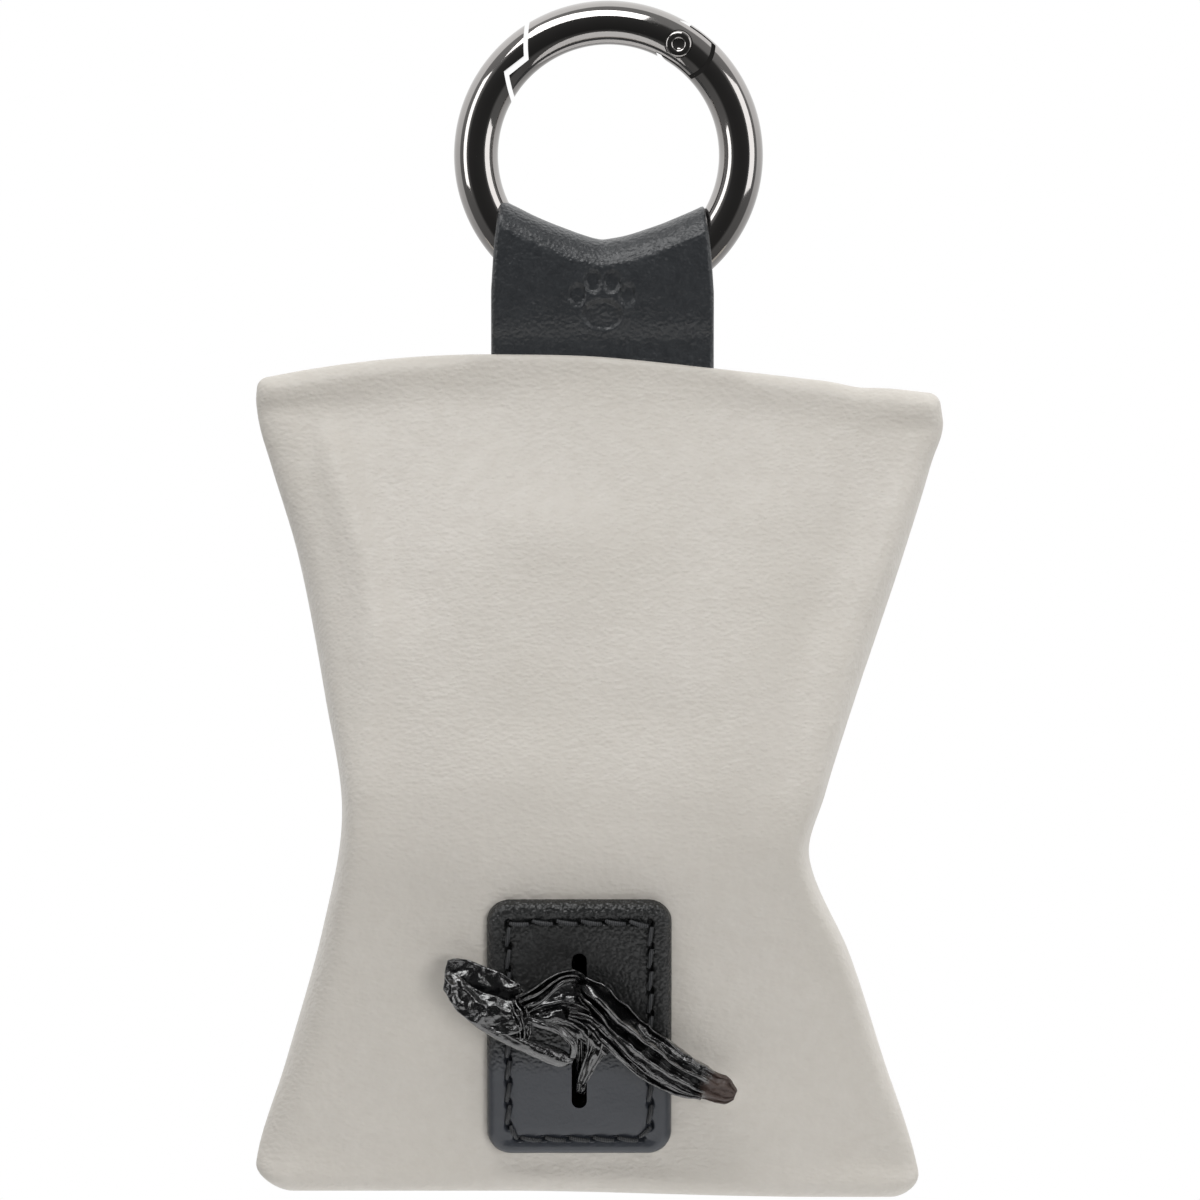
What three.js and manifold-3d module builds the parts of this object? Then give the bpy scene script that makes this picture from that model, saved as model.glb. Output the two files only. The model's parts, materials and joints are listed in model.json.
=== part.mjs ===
// Dog waste-bag pouch: a soft faux-leather pouch that hangs from a spring-gate ring by a leather tab.
// A roll of bags lies across the pouch at its waist, and the bags are pulled out through a stitched slit patch.
// Millimetres. The origin is the hang point, the top of the ring's inner surface. +Z is up, the patch faces -Y.
import * as THREE from "three";
import { mergeVertices } from "three/addons/utils/BufferGeometryUtils.js";
import Module from "manifold-3d";

const wasm = await Module();
wasm.setup();

const GAP = 0.3; // between pieces that touch
const RAD = Math.PI / 180;

// Spring-gate ring: a round wire with a hinged gate, in a frame whose origin is the ring's centre.
const RING_MEAN_RADIUS = 15;
const WIRE_RADIUS = 2.5;
const RING_Z = -(RING_MEAN_RADIUS - WIRE_RADIUS);
const PIN_ANGLE = 57.6; // degrees from +X towards +Z
const PIN_ORBIT = 14.8;
const PIN_X = PIN_ORBIT * Math.cos(PIN_ANGLE * RAD);
const PIN_Z = PIN_ORBIT * Math.sin(PIN_ANGLE * RAD);
const PIN_RADIUS = 0.9;
const PIN_HEAD_RADIUS = 1.5;
const PIN_HEAD_FROM = 2; // the heads' undersides and tops, along Y
const PIN_HEAD_TO = 2.6;
const CHEEK_RADIUS = 3.7; // the gate's two round ears
const SHOULDER_RADIUS = 4.2; // the round end of the ring behind them
const TONGUE_RADIUS = 2.3;
const TONGUE_HALF = 0.95;
const TONGUE_FLAT = 1.5; // from the pin to the flat that the plunger presses on
const FORK_HALF = 1.25;
const FORK_RADIUS = 2.7;
const NOSE_RADIUS = 17.05; // the gate's outer end, about the pin
const LIP_RADIUS = 19.5; // the gate's inner lip, about the pin
const NOSE_GAP = 0.5;
const NOSE_GAP_ANGLE = 1.5; // the same gap across the step, in degrees about the pin
const NOSE_START = 150; // degrees about the pin, well outside the wire
const STEP_START = 186; // where the outer end turns into the step
const STEP_END = 190.5; // where the step meets the inner lip
const NOSE_END = 215; // well inside the wire
const CUT = 4; // half the depth of a cut that goes right through the wire

// Plunger and spring, in a straight bore that starts at the pin and runs into the gate.
const BORE_ANGLE = PIN_ANGLE + 90 + 15;
const BORE_RADIUS = 1.05;
const BORE_END = 7.7;
const PLUNGER_RADIUS = 0.85;
const PLUNGER_START = TONGUE_FLAT + 0.15;
const PLUNGER_LENGTH = 2.5;
const SPRING_START = PLUNGER_START + PLUNGER_LENGTH + 0.25;
const SPRING_LENGTH = 2.9;

// Hanger tab: one strap, folded over the wire and sewn into the pouch's top seam.
const TAB_CENTRE_X = -0.68;
const TAB_WIDTH = 25.2;
const STRAP = 1.2;
const FOLD_Z = -26.4; // centre of the fold's round
const FOLD_RADIUS = WIRE_RADIUS + GAP + STRAP;
const FOLD_RISE = 4.3; // how much higher the fold is at its two ends
const TAB_BOTTOM_Z = -31.4;
const TAB_ROOT_END_Z = -41;

// Pouch: a closed tube of leather with folded sides, sewn flat at the top and bottom.
const WALL = 1.2;
const POUCH_TOP_Z = -35;
const POUCH_BOTTOM_Z = -129.8;
const SEAM_HALF = 2.6;
const SEAM_DEPTH = 4.5;
const UPPER_FOOT_Z = -41; // where the panels leave the top seam
const LOWER_FOOT_Z = -126;
const UPPER_SLOPE = 0.317;
const LOWER_SLOPE = 0.406;
const RIDGE_HALF = 5.7; // half the length of the round that joins the upper and lower panels
const CORNER = 4.5;
const LEFT_EDGE = [
  [-130.5, -38.6],
  [-126.5, -39.9],
  [-115, -36.5],
  [-100, -32.3],
  [-87, -30.1],
  [-74, -32],
  [-58, -35.1],
  [-45, -38.9],
  [-38, -39.9],
  [-34, -39.6],
];
const RIGHT_EDGE = [
  [-131, 34.4],
  [-127, 35.1],
  [-115, 31.2],
  [-103, 27.3],
  [-92, 22.7],
  [-85, 24.4],
  [-74, 27.9],
  [-58, 33.3],
  [-45, 37.2],
  [-40, 37.9],
  [-36, 37.6],
];

// Bag roll, across the pouch at its waist.
const ROLL_Z = -88.4;
const ROLL_X = -3.6;
const ROLL_RADIUS = 14.5;
const ROLL_LENGTH = 46;
const CORE_RADIUS = 6.2;
const CORE_WALL = 1.2;

// Slit patch, on the lower front panel.
const PATCH_X = -3.3;
const PATCH_Z = -111.1;
const PATCH_WIDTH = 20.8;
const PATCH_LENGTH = 31;
const PATCH_CORNER = 2.7;
const PATCH_THICK = 1.5;
const PATCH_BEVEL = 0.5;
const SLIT_WIDTH = 1.72;
const SLIT_TOP_Z = -103.5;
const SLIT_BOTTOM_Z = -119.4;
const STITCH_WIDTH = 16;
const STITCH_LENGTH = 26.6;
const THREAD = 0.45;

// Zip, across the upper back panel: positions are along the panel, and outwards from its face.
const ZIP_Z = -53.5;
const ZIP_X = -1.2;
const WINDOW_LENGTH = 51;
const WINDOW_HALF = 4;
const TAPE_LENGTH = 56;
const TAPE_THICK = 0.6;
const TAPE_OUT = -WALL - GAP;
const TAPE_REACH = 9.3;
const CHAIN_HALF_GAP = 0.8; // room for the slider's web between the two rows
const COIL_WIDTH = 1.5;
const COIL_THICK = 1.3;
const CHAIN_HALF_LENGTH = 25;
const STOP_LENGTH = 1.4;
const SLIDER_LENGTH = 8;
const SLIDER_HALF_WIDTH = 3.4;
const SLIDER_PLATE = 1;
const SLIDER_X = 19; // from the zip's middle, closed
const BAIL_HALF = 0.6;
const BAIL_INNER = 1.5;
const BAIL_OUTER = 2.3;
const BAIL_CLEAR = 1.8;
const PULL_AXIS_OUT = 2.05;
const PULL_BAR_RADIUS = 0.5;
const PULL_EYE = 3.2;
const PULL_LENGTH = 17;
const PULL_HALF_WIDTH = 2.5;

const finish = (color, roughness, metalness = 0) =>
  new THREE.MeshStandardMaterial({ color, roughness, metalness });

const look = {
  nickel: () => finish(0x6b6b70, 0.18, 1),
  spring: () => finish(0xa8a8ac, 0.3, 1),
  pouch: () => finish(0xc6c0b8, 0.6),
  black: () => finish(0x35373a, 0.55),
  thread: () => finish(0x1d1d1e, 0.9),
  tape: () => finish(0x9a948c, 0.9),
  coil: () => finish(0xb3aca3, 0.4),
  film: () => finish(0x18181a, 0.25),
  core: () => finish(0xa98c66, 0.9),
};

// --- solids -------------------------------------------------------------------------------------

function solidOf(geometry) {
  const bare = geometry.clone();
  bare.deleteAttribute("normal");
  bare.deleteAttribute("uv");
  const merged = mergeVertices(bare, 1e-4);
  const mesh = new wasm.Mesh({
    numProp: 3,
    vertProperties: merged.attributes.position.array,
    triVerts: new Uint32Array(merged.index.array),
  });
  return new wasm.Manifold(mesh);
}

function geometryOf(solid) {
  const mesh = solid.getMesh();
  const geometry = new THREE.BufferGeometry();
  geometry.setAttribute("position", new THREE.BufferAttribute(mesh.vertProperties, 3));
  geometry.setIndex(new THREE.BufferAttribute(mesh.triVerts, 1));
  geometry.computeVertexNormals();
  return geometry;
}

function piece(name, shape, material) {
  const geometry = shape instanceof THREE.BufferGeometry ? shape : geometryOf(shape);
  const mesh = new THREE.Mesh(geometry, material);
  mesh.name = name;
  return mesh;
}

function group(position, tilt, ...children) {
  const made = new THREE.Group();
  made.position.set(...position);
  made.rotation.x = tilt;
  made.add(...children);
  return made;
}

// A shape drawn in X and Z, extruded along Y from y0 to y1.
function slab(shape, y0, y1, options = {}) {
  const { curveSegments = 12, bevel = 0 } = options;
  const geometry = new THREE.ExtrudeGeometry(shape, {
    depth: y1 - y0 - 2 * bevel,
    bevelEnabled: bevel > 0,
    bevelSize: bevel,
    bevelThickness: bevel,
    bevelOffset: -bevel,
    bevelSegments: 2,
    curveSegments,
  });
  return geometry.rotateX(Math.PI / 2).translate(0, y1 - bevel, 0);
}

// A shape drawn in Y and Z, extruded along X from x0 to x1.
function rail(shape, x0, x1, steps = 1) {
  const geometry = new THREE.ExtrudeGeometry(shape, {
    depth: x1 - x0,
    bevelEnabled: false,
    steps,
    curveSegments: 8,
  });
  const turn = new THREE.Matrix4().set(0, 0, 1, x0, 1, 0, 0, 0, 0, 1, 0, 0, 0, 0, 0, 1);
  return geometry.applyMatrix4(turn);
}

function block(x0, x1, y0, y1, z0, z1) {
  const geometry = new THREE.BoxGeometry(x1 - x0, y1 - y0, z1 - z0);
  return geometry.translate((x0 + x1) / 2, (y0 + y1) / 2, (z0 + z1) / 2);
}

function disc(x, z, radius) {
  return new THREE.Shape().absarc(x, z, radius, 0, 2 * Math.PI);
}

function roundedRectangle(width, length, corner) {
  const x = width / 2 - corner;
  const z = length / 2 - corner;
  return new THREE.Shape()
    .absarc(x, z, corner, 0, Math.PI / 2)
    .absarc(-x, z, corner, Math.PI / 2, Math.PI)
    .absarc(-x, -z, corner, Math.PI, 1.5 * Math.PI)
    .absarc(x, -z, corner, 1.5 * Math.PI, 2 * Math.PI);
}

// A flat thread that goes round a rounded rectangle.
function threadLoop(width, length, corner, y0) {
  const outline = roundedRectangle(width + THREAD, length + THREAD, corner + THREAD / 2);
  outline.holes.push(roundedRectangle(width - THREAD, length - THREAD, corner - THREAD / 2));
  return slab(outline, y0, y0 + THREAD, { curveSegments: 4 });
}

// Smooth curve through [z, x] pairs, in order of rising z.
function edgeCurve(points) {
  const heights = points.map((p) => p[0]);
  return (z) => {
    const last = points.length - 1;
    let i = heights.findIndex((h) => h > z) - 1;
    if (z <= heights[0]) i = 0;
    if (z >= heights[last]) i = last - 1;
    const t = THREE.MathUtils.clamp((z - heights[i]) / (heights[i + 1] - heights[i]), 0, 1);
    const at = (k) => points[THREE.MathUtils.clamp(k, 0, last)];
    const slope = (k) => (at(k + 1)[1] - at(k - 1)[1]) / (at(k + 1)[0] - at(k - 1)[0]);
    const span = heights[i + 1] - heights[i];
    const t2 = t * t;
    const t3 = t2 * t;
    return (
      (2 * t3 - 3 * t2 + 1) * at(i)[1] +
      (t3 - 2 * t2 + t) * span * slope(i) +
      (3 * t2 - 2 * t3) * at(i + 1)[1] +
      (t3 - t2) * span * slope(i + 1)
    );
  };
}

// --- ring and gate, about the ring's centre -----------------------------------------------------

class RingArc extends THREE.Curve {
  constructor(from, to) {
    super();
    this.from = from * RAD;
    this.to = to * RAD;
  }
  getPoint(t, target = new THREE.Vector3()) {
    const angle = this.from + (this.to - this.from) * t;
    return target.set(RING_MEAN_RADIUS * Math.cos(angle), 0, RING_MEAN_RADIUS * Math.sin(angle));
  }
}

function wireArc(from, to) {
  const degreesPerStep = 8;
  const section = new THREE.Shape().absarc(0, 0, WIRE_RADIUS, 0, 2 * Math.PI);
  const geometry = new THREE.ExtrudeGeometry(section, {
    extrudePath: new RingArc(from, to),
    steps: Math.ceil(Math.abs(to - from) / degreesPerStep),
    curveSegments: 7,
  });
  return solidOf(geometry);
}

function aboutPin(radius, angle) {
  return [PIN_X + radius * Math.cos(angle * RAD), PIN_Z + radius * Math.sin(angle * RAD)];
}

// The gate's side of the nose joint: its outer end, a slanting step, and the longer inner lip.
function noseSide(gap, rise, right) {
  const outer = NOSE_RADIUS + gap;
  const lip = LIP_RADIUS + gap;
  const stepStart = STEP_START - rise;
  const stepEnd = STEP_END - rise;
  const shape = new THREE.Shape();
  shape.moveTo(...aboutPin(outer, NOSE_START));
  shape.absarc(PIN_X, PIN_Z, outer, NOSE_START * RAD, stepStart * RAD);
  shape.lineTo(...aboutPin(lip, stepEnd));
  shape.absarc(PIN_X, PIN_Z, lip, stepEnd * RAD, NOSE_END * RAD);
  shape.lineTo(right, aboutPin(lip, NOSE_END)[1]);
  shape.lineTo(right, RING_MEAN_RADIUS + 4 * WIRE_RADIUS);
  return solidOf(slab(shape, -CUT, CUT, { curveSegments: 6 }));
}

// Everything on the ring's side of the pin, between two heights along Y.
function pastPin(halfThick) {
  const along = (PIN_ANGLE - 90) * RAD;
  const start = -0.4;
  const end = 9;
  const across = 6;
  const geometry = block(start, end, -halfThick, halfThick, -across, across);
  geometry.rotateY(-along).translate(PIN_X, 0, PIN_Z);
  return solidOf(geometry);
}

function pinDisc(radius, y0, y1) {
  return solidOf(slab(disc(PIN_X, PIN_Z, radius), y0, y1));
}

// A cylinder of revolution on the plunger's bore axis: profile points are [radius, distance from the pin].
function onBore(geometry) {
  return geometry.rotateZ(-Math.PI / 2).rotateY(-BORE_ANGLE * RAD).translate(PIN_X, 0, PIN_Z);
}

function turned(profile, segments = 16) {
  return new THREE.LatheGeometry(
    profile.map(([r, y]) => new THREE.Vector2(r, y)),
    segments,
  );
}

function ringBody() {
  const nose = noseSide(NOSE_GAP, NOSE_GAP_ANGLE, -2);
  const main = wireArc(117, 360 + PIN_ANGLE)
    .subtract(nose)
    .subtract(pinDisc(SHOULDER_RADIUS, -CUT, CUT));
  const reach = pinDisc(SHOULDER_RADIUS + 1.6, -TONGUE_HALF, TONGUE_HALF)
    .intersect(pastPin(TONGUE_HALF))
    .add(pinDisc(TONGUE_RADIUS, -TONGUE_HALF, TONGUE_HALF));
  const flat = onBore(block(-CUT, CUT, TONGUE_FLAT, 2 * TONGUE_RADIUS, -CUT, CUT));
  const tongue = wireArc(PIN_ANGLE - 26, PIN_ANGLE + 13)
    .intersect(reach)
    .subtract(solidOf(flat));
  return main.add(tongue).subtract(pinDisc(PIN_RADIUS + 0.08, -CUT, CUT));
}

function ringGate() {
  const arm = wireArc(PIN_ANGLE, 156).intersect(noseSide(0, 0, PIN_X + 8));
  const ears = wireArc(PIN_ANGLE - 18, PIN_ANGLE + 1).intersect(pinDisc(CHEEK_RADIUS, -CUT, CUT));
  const bore = onBore(new THREE.CylinderGeometry(BORE_RADIUS, BORE_RADIUS, BORE_END, 16)
    .translate(0, BORE_END / 2, 0));
  const sink = PIN_HEAD_RADIUS + 0.12;
  const sinkFrom = PIN_HEAD_FROM - 0.12;
  return arm
    .add(ears)
    .subtract(pastPin(FORK_HALF))
    .subtract(pinDisc(FORK_RADIUS, -FORK_HALF, FORK_HALF))
    .subtract(pinDisc(PIN_RADIUS + 0.1, -CUT, CUT))
    .subtract(pinDisc(sink, sinkFrom, CUT))
    .subtract(pinDisc(sink, -CUT, -sinkFrom))
    .subtract(solidOf(bore));
}

function gatePin() {
  const rim = 0.18;
  const half = [
    [PIN_RADIUS, PIN_HEAD_FROM],
    [PIN_HEAD_RADIUS, PIN_HEAD_FROM],
    [PIN_HEAD_RADIUS, PIN_HEAD_TO - rim],
    [PIN_HEAD_RADIUS - rim, PIN_HEAD_TO],
    [0.7, PIN_HEAD_TO],
    [0.6, PIN_HEAD_TO - rim],
    [0, PIN_HEAD_TO - rim],
  ];
  const lower = half.map(([r, y]) => [r, -y]).reverse();
  return turned([...lower, ...half], 18).translate(PIN_X, 0, PIN_Z);
}

function springPlunger() {
  const nose = [1, 2, 3, 4].map((k) => {
    const angle = (k * 22.5 - 90) * RAD;
    return [PLUNGER_RADIUS * Math.cos(angle), PLUNGER_RADIUS * (1 + Math.sin(angle))];
  });
  const profile = [[0, 0], ...nose, [PLUNGER_RADIUS, PLUNGER_LENGTH], [0, PLUNGER_LENGTH]];
  return onBore(turned(profile).translate(0, PLUNGER_START, 0));
}

class Helix extends THREE.Curve {
  constructor(radius, length, turns) {
    super();
    Object.assign(this, { radius, length, turns });
  }
  getPoint(t, target = new THREE.Vector3()) {
    const angle = 2 * Math.PI * this.turns * t;
    return target.set(this.radius * Math.cos(angle), this.length * t, this.radius * Math.sin(angle));
  }
}

function gateSpring() {
  const wire = 0.17;
  const turns = 4;
  const section = new THREE.Shape().absarc(0, 0, wire, 0, 2 * Math.PI);
  const coil = new THREE.ExtrudeGeometry(section, {
    extrudePath: new Helix(0.66, SPRING_LENGTH - 2 * wire, turns),
    steps: turns * 10,
    curveSegments: 3,
  });
  return onBore(coil.translate(0, SPRING_START + wire, 0));
}

function ring() {
  return group(
    [0, 0, RING_Z],
    0,
    piece("ring_body", ringBody(), look.nickel()),
    piece("ring_gate", ringGate(), look.nickel()),
    piece("gate_pin", gatePin(), look.nickel()),
    piece("spring_plunger", springPlunger(), look.spring()),
    piece("gate_spring", gateSpring(), look.spring()),
  );
}

// --- hanger tab ---------------------------------------------------------------------------------

// Lifts the fold towards its two ends, where the strap rides up the ring, and narrows it there.
function liftFold(geometry) {
  const place = geometry.attributes.position;
  for (let i = 0; i < place.count; i++) {
    const across = place.getX(i);
    const z = place.getZ(i);
    const share = THREE.MathUtils.smoothstep(z, TAB_BOTTOM_Z, FOLD_Z);
    const rise = FOLD_RISE * Math.abs((2 * across) / TAB_WIDTH) ** 1.4;
    place.setX(i, across * (1 - 0.08 * share));
    place.setZ(i, z + rise * share);
  }
  return geometry;
}

function foldProfile(radius, footHalf, footZ) {
  const shape = new THREE.Shape();
  shape.moveTo(radius, FOLD_Z);
  shape.absarc(0, FOLD_Z, radius, 0, Math.PI);
  shape.lineTo(-radius * 0.98, FOLD_Z - 1.6);
  shape.lineTo(-footHalf, footZ);
  shape.lineTo(footHalf, footZ);
  shape.lineTo(radius * 0.98, FOLD_Z - 1.6);
  return shape;
}

function hangerTab() {
  const half = TAB_WIDTH / 2;
  const outer = liftFold(rail(foldProfile(FOLD_RADIUS, 2.5, TAB_BOTTOM_Z), -half, half, 10));
  const hollow = foldProfile(FOLD_RADIUS - STRAP, 0.8, TAB_BOTTOM_Z + 0.7);
  const inner = liftFold(rail(hollow, -half - 3, half + 3, 10));
  const wireRoom = new THREE.TorusGeometry(RING_MEAN_RADIUS, WIRE_RADIUS + GAP, 14, 48)
    .rotateX(Math.PI / 2)
    .translate(-TAB_CENTRE_X, 0, RING_Z);
  return solidOf(outer).subtract(solidOf(inner)).subtract(solidOf(wireRoom));
}

// The strap's sewn end, which bends where it enters the seam.
function hangerTabRoot() {
  const shape = new THREE.Shape();
  const top = TAB_BOTTOM_Z - GAP;
  shape.moveTo(2.2, top);
  shape.lineTo(-2.2, top);
  shape.lineTo(-STRAP, POUCH_TOP_Z + 0.5);
  shape.lineTo(-STRAP, TAB_ROOT_END_Z);
  shape.lineTo(STRAP, TAB_ROOT_END_Z);
  shape.lineTo(STRAP, POUCH_TOP_Z + 0.5);
  return rail(shape, -TAB_WIDTH / 2, TAB_WIDTH / 2);
}

// --- pouch --------------------------------------------------------------------------------------

const leftEdge = edgeCurve(LEFT_EDGE);
const rightEdge = edgeCurve(RIGHT_EDGE);

// The seams aren't straight: the top one falls towards its corners, the bottom one sags to the right.
function topDrop(x) {
  if (x > 3) return 0.125 * (x - 3);
  return x < -13 ? 0.004 * (x + 13) ** 2 : 0;
}

function bottomDrop(x) {
  return 0.7 * THREE.MathUtils.smoothstep(x, 0, 9);
}

// Half the distance between the front and back panels, away from the seams.
function panelHalf(z) {
  const upper = 2.5 + UPPER_SLOPE * (UPPER_FOOT_Z - z);
  const lower = 2.5 + LOWER_SLOPE * (z - LOWER_FOOT_Z);
  const excess = (lower - upper) / (UPPER_SLOPE + LOWER_SLOPE); // height above the ridge line
  if (Math.abs(excess) >= RIDGE_HALF) return Math.min(upper, lower);
  const round = ((UPPER_SLOPE + LOWER_SLOPE) * (RIDGE_HALF - Math.abs(excess)) ** 2) / (4 * RIDGE_HALF);
  return Math.min(upper, lower) - round;
}

function halfDepth(z, fromEnd) {
  const seam = SEAM_HALF * Math.sqrt(1 - (1 - Math.min(fromEnd / SEAM_HALF, 1)) ** 2);
  return fromEnd < SEAM_HALF ? Math.max(seam, 0.8) : Math.max(SEAM_HALF, panelHalf(z));
}

// Turns a box of side 2 into the pouch's outer skin, or into its hollow when inset is not 0.
function pouchForm(columns, rows, inset) {
  const sideRows = inset ? 4 : 6;
  const geometry = new THREE.BoxGeometry(2, 2, 2, columns, sideRows, rows);
  const place = geometry.attributes.position;
  const endInset = inset ? SEAM_DEPTH : 0;
  for (let i = 0; i < place.count; i++) {
    const across = place.getX(i);
    const deep = place.getY(i);
    const height = (place.getZ(i) + 1) / 2;
    const eased = height - 0.1 * Math.sin(2 * Math.PI * height);
    const level = THREE.MathUtils.lerp(POUCH_BOTTOM_Z + endInset, POUCH_TOP_Z - endInset, eased);
    const corner = Math.min(CORNER, panelHalf(level) + 1) * (inset ? 0.8 : 1);
    const left = leftEdge(level) + inset + corner;
    const right = rightEdge(level) - inset - corner;
    const onSide = Math.abs(across) > 0.999;
    const boxy = THREE.MathUtils.lerp(1, 0.5, THREE.MathUtils.clamp((panelHalf(level) - 4) / 10, 0, 1));
    const swing = Math.abs(deep) * 0.5 * Math.PI;
    let x = THREE.MathUtils.lerp(left, right, (across + 1) / 2);
    let share = deep;
    if (onSide) {
      x += Math.sign(across) * corner * Math.max(Math.cos(swing), 0) ** boxy;
      share = Math.sign(deep) * Math.sin(swing) ** boxy;
    }
    const nearTop = THREE.MathUtils.smoothstep(height, 0.86, 1);
    const nearBottom = 1 - THREE.MathUtils.smoothstep(height, 0, 0.14);
    const z = level - topDrop(x) * nearTop - bottomDrop(x) * nearBottom;
    const fromTop = POUCH_TOP_Z - topDrop(x) - z;
    const fromBottom = z - (POUCH_BOTTOM_Z - bottomDrop(x));
    const half = halfDepth(z, Math.min(fromTop, fromBottom)) - inset * 1.05;
    place.setXYZ(i, x, share * half, z);
  }
  return solidOf(geometry);
}

function slitShape(width) {
  const half = width / 2;
  return new THREE.Shape()
    .absarc(0, SLIT_TOP_Z, half, 0, Math.PI)
    .absarc(0, SLIT_BOTTOM_Z, half, Math.PI, 2 * Math.PI);
}

function slitCut(width, y0, y1) {
  return slab(slitShape(width), y0, y1, { curveSegments: 6 });
}

function onBackPanel(...children) {
  return group([ZIP_X, panelHalf(ZIP_Z), ZIP_Z], Math.atan(UPPER_SLOPE), ...children);
}

function onFrontPanel(...children) {
  return group([PATCH_X, -panelHalf(PATCH_Z), PATCH_Z], Math.atan(LOWER_SLOPE), ...children);
}

function placed(geometry, parent) {
  parent.updateMatrixWorld(true);
  return solidOf(geometry.applyMatrix4(parent.matrixWorld));
}

function pouchShell() {
  const window = slab(roundedRectangle(WINDOW_LENGTH, 2 * WINDOW_HALF, 1.5), -4, 4);
  const slit = slitCut(SLIT_WIDTH + 0.8, -20, 0).translate(PATCH_X, 0, 0);
  const tabHalf = TAB_WIDTH / 2 + GAP;
  const pocket = block(
    TAB_CENTRE_X - tabHalf,
    TAB_CENTRE_X + tabHalf,
    -STRAP - GAP,
    STRAP + GAP,
    TAB_ROOT_END_Z - 0.5,
    POUCH_TOP_Z + 1,
  );
  return pouchForm(16, 30, 0)
    .subtract(pouchForm(8, 20, WALL))
    .subtract(placed(window, onBackPanel(new THREE.Group())))
    .subtract(solidOf(slit))
    .subtract(solidOf(pocket));
}

// --- patch --------------------------------------------------------------------------------------

// The patch is cut in its own tilted frame, so the slit, which runs along Y, is turned back into it.
function slotPatch() {
  const outline = roundedRectangle(PATCH_WIDTH, PATCH_LENGTH, PATCH_CORNER);
  const plate = slab(outline, -GAP - PATCH_THICK, -GAP, { curveSegments: 4, bevel: PATCH_BEVEL });
  const frame = onFrontPanel(new THREE.Group());
  frame.updateMatrixWorld(true);
  const slit = slitCut(SLIT_WIDTH, -20, 0).translate(PATCH_X, 0, 0);
  slit.applyMatrix4(frame.matrixWorld.clone().invert());
  return solidOf(plate).subtract(solidOf(slit));
}

function patch() {
  const stitches = threadLoop(STITCH_WIDTH, STITCH_LENGTH, 1.2, -GAP - PATCH_THICK - GAP - THREAD);
  return onFrontPanel(
    piece("slot_patch", slotPatch(), look.black()),
    piece("patch_stitching", stitches, look.thread()),
  );
}

// --- zip ----------------------------------------------------------------------------------------

function zipTape(side) {
  const length = TAPE_LENGTH / 2;
  const [low, high] = side > 0 ? [CHAIN_HALF_GAP, TAPE_REACH] : [-TAPE_REACH, -CHAIN_HALF_GAP];
  return block(-length, length, TAPE_OUT - TAPE_THICK, TAPE_OUT, low, high);
}

// One row of the nylon coil: a bar with a rib for every second turn.
function zipCoil(side) {
  const half = CHAIN_HALF_LENGTH - STOP_LENGTH - 0.2;
  const foot = TAPE_OUT + 0.1;
  const pitch = 2.4;
  const ribs = Math.floor((2 * half) / pitch);
  const shape = new THREE.Shape();
  shape.moveTo(-half, 0);
  for (let k = 0; k < ribs; k++) {
    const start = -half + k * pitch;
    shape.lineTo(start, COIL_WIDTH - 0.25);
    shape.lineTo(start + 0.3, COIL_WIDTH);
    shape.lineTo(start + pitch - 0.9, COIL_WIDTH);
    shape.lineTo(start + pitch - 0.6, COIL_WIDTH - 0.25);
  }
  shape.lineTo(half, COIL_WIDTH - 0.25);
  shape.lineTo(half, 0);
  const row = slab(shape, foot, foot + COIL_THICK);
  if (side < 0) row.rotateY(Math.PI);
  return row.translate(0, 0, side * CHAIN_HALF_GAP);
}

function zipStop(side) {
  const from = CHAIN_HALF_LENGTH - STOP_LENGTH;
  const half = CHAIN_HALF_GAP + COIL_WIDTH;
  const foot = TAPE_OUT + 0.1;
  const [x0, x1] = side > 0 ? [from, from + STOP_LENGTH] : [-from - STOP_LENGTH, -from];
  return block(x0, x1, foot, foot + COIL_THICK, -half, half);
}

function zipSlider() {
  const half = SLIDER_LENGTH / 2;
  const wide = SLIDER_HALF_WIDTH;
  const plateFrom = 0.2;
  const innerTo = TAPE_OUT - TAPE_THICK - GAP;
  const plan = roundedRectangle(SLIDER_LENGTH, 2 * wide, 1.4);
  const plateTop = plateFrom + SLIDER_PLATE;
  const bailTop = plateTop + BAIL_CLEAR;
  const corners = { curveSegments: 4 };
  const sunk = 0.5; // how far the parts run into each other
  const wall = 0.8; // thickness of the side flanges and the bail
  const end = half - 1.4; // the flanges stop where the plates' corners turn
  const flange = (z0, z1) => solidOf(block(-end, end, TAPE_OUT + GAP, plateTop - sunk, z0, z1));
  const bail = (x0, x1, from) => solidOf(block(x0, x1, from, bailTop + wall, -BAIL_HALF, BAIL_HALF));
  return solidOf(slab(plan, plateFrom, plateTop, corners))
    .add(solidOf(slab(plan, innerTo - SLIDER_PLATE, innerTo, corners)))
    .add(solidOf(block(1, 3, innerTo - sunk, plateTop - sunk, -0.5, 0.5)))
    .add(flange(wide - wall, wide))
    .add(flange(-wide, -wide + wall))
    .add(bail(-BAIL_OUTER, -BAIL_INNER, plateTop - sunk))
    .add(bail(BAIL_INNER, BAIL_OUTER, plateTop - sunk))
    .add(bail(-BAIL_OUTER, BAIL_OUTER, bailTop));
}

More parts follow.
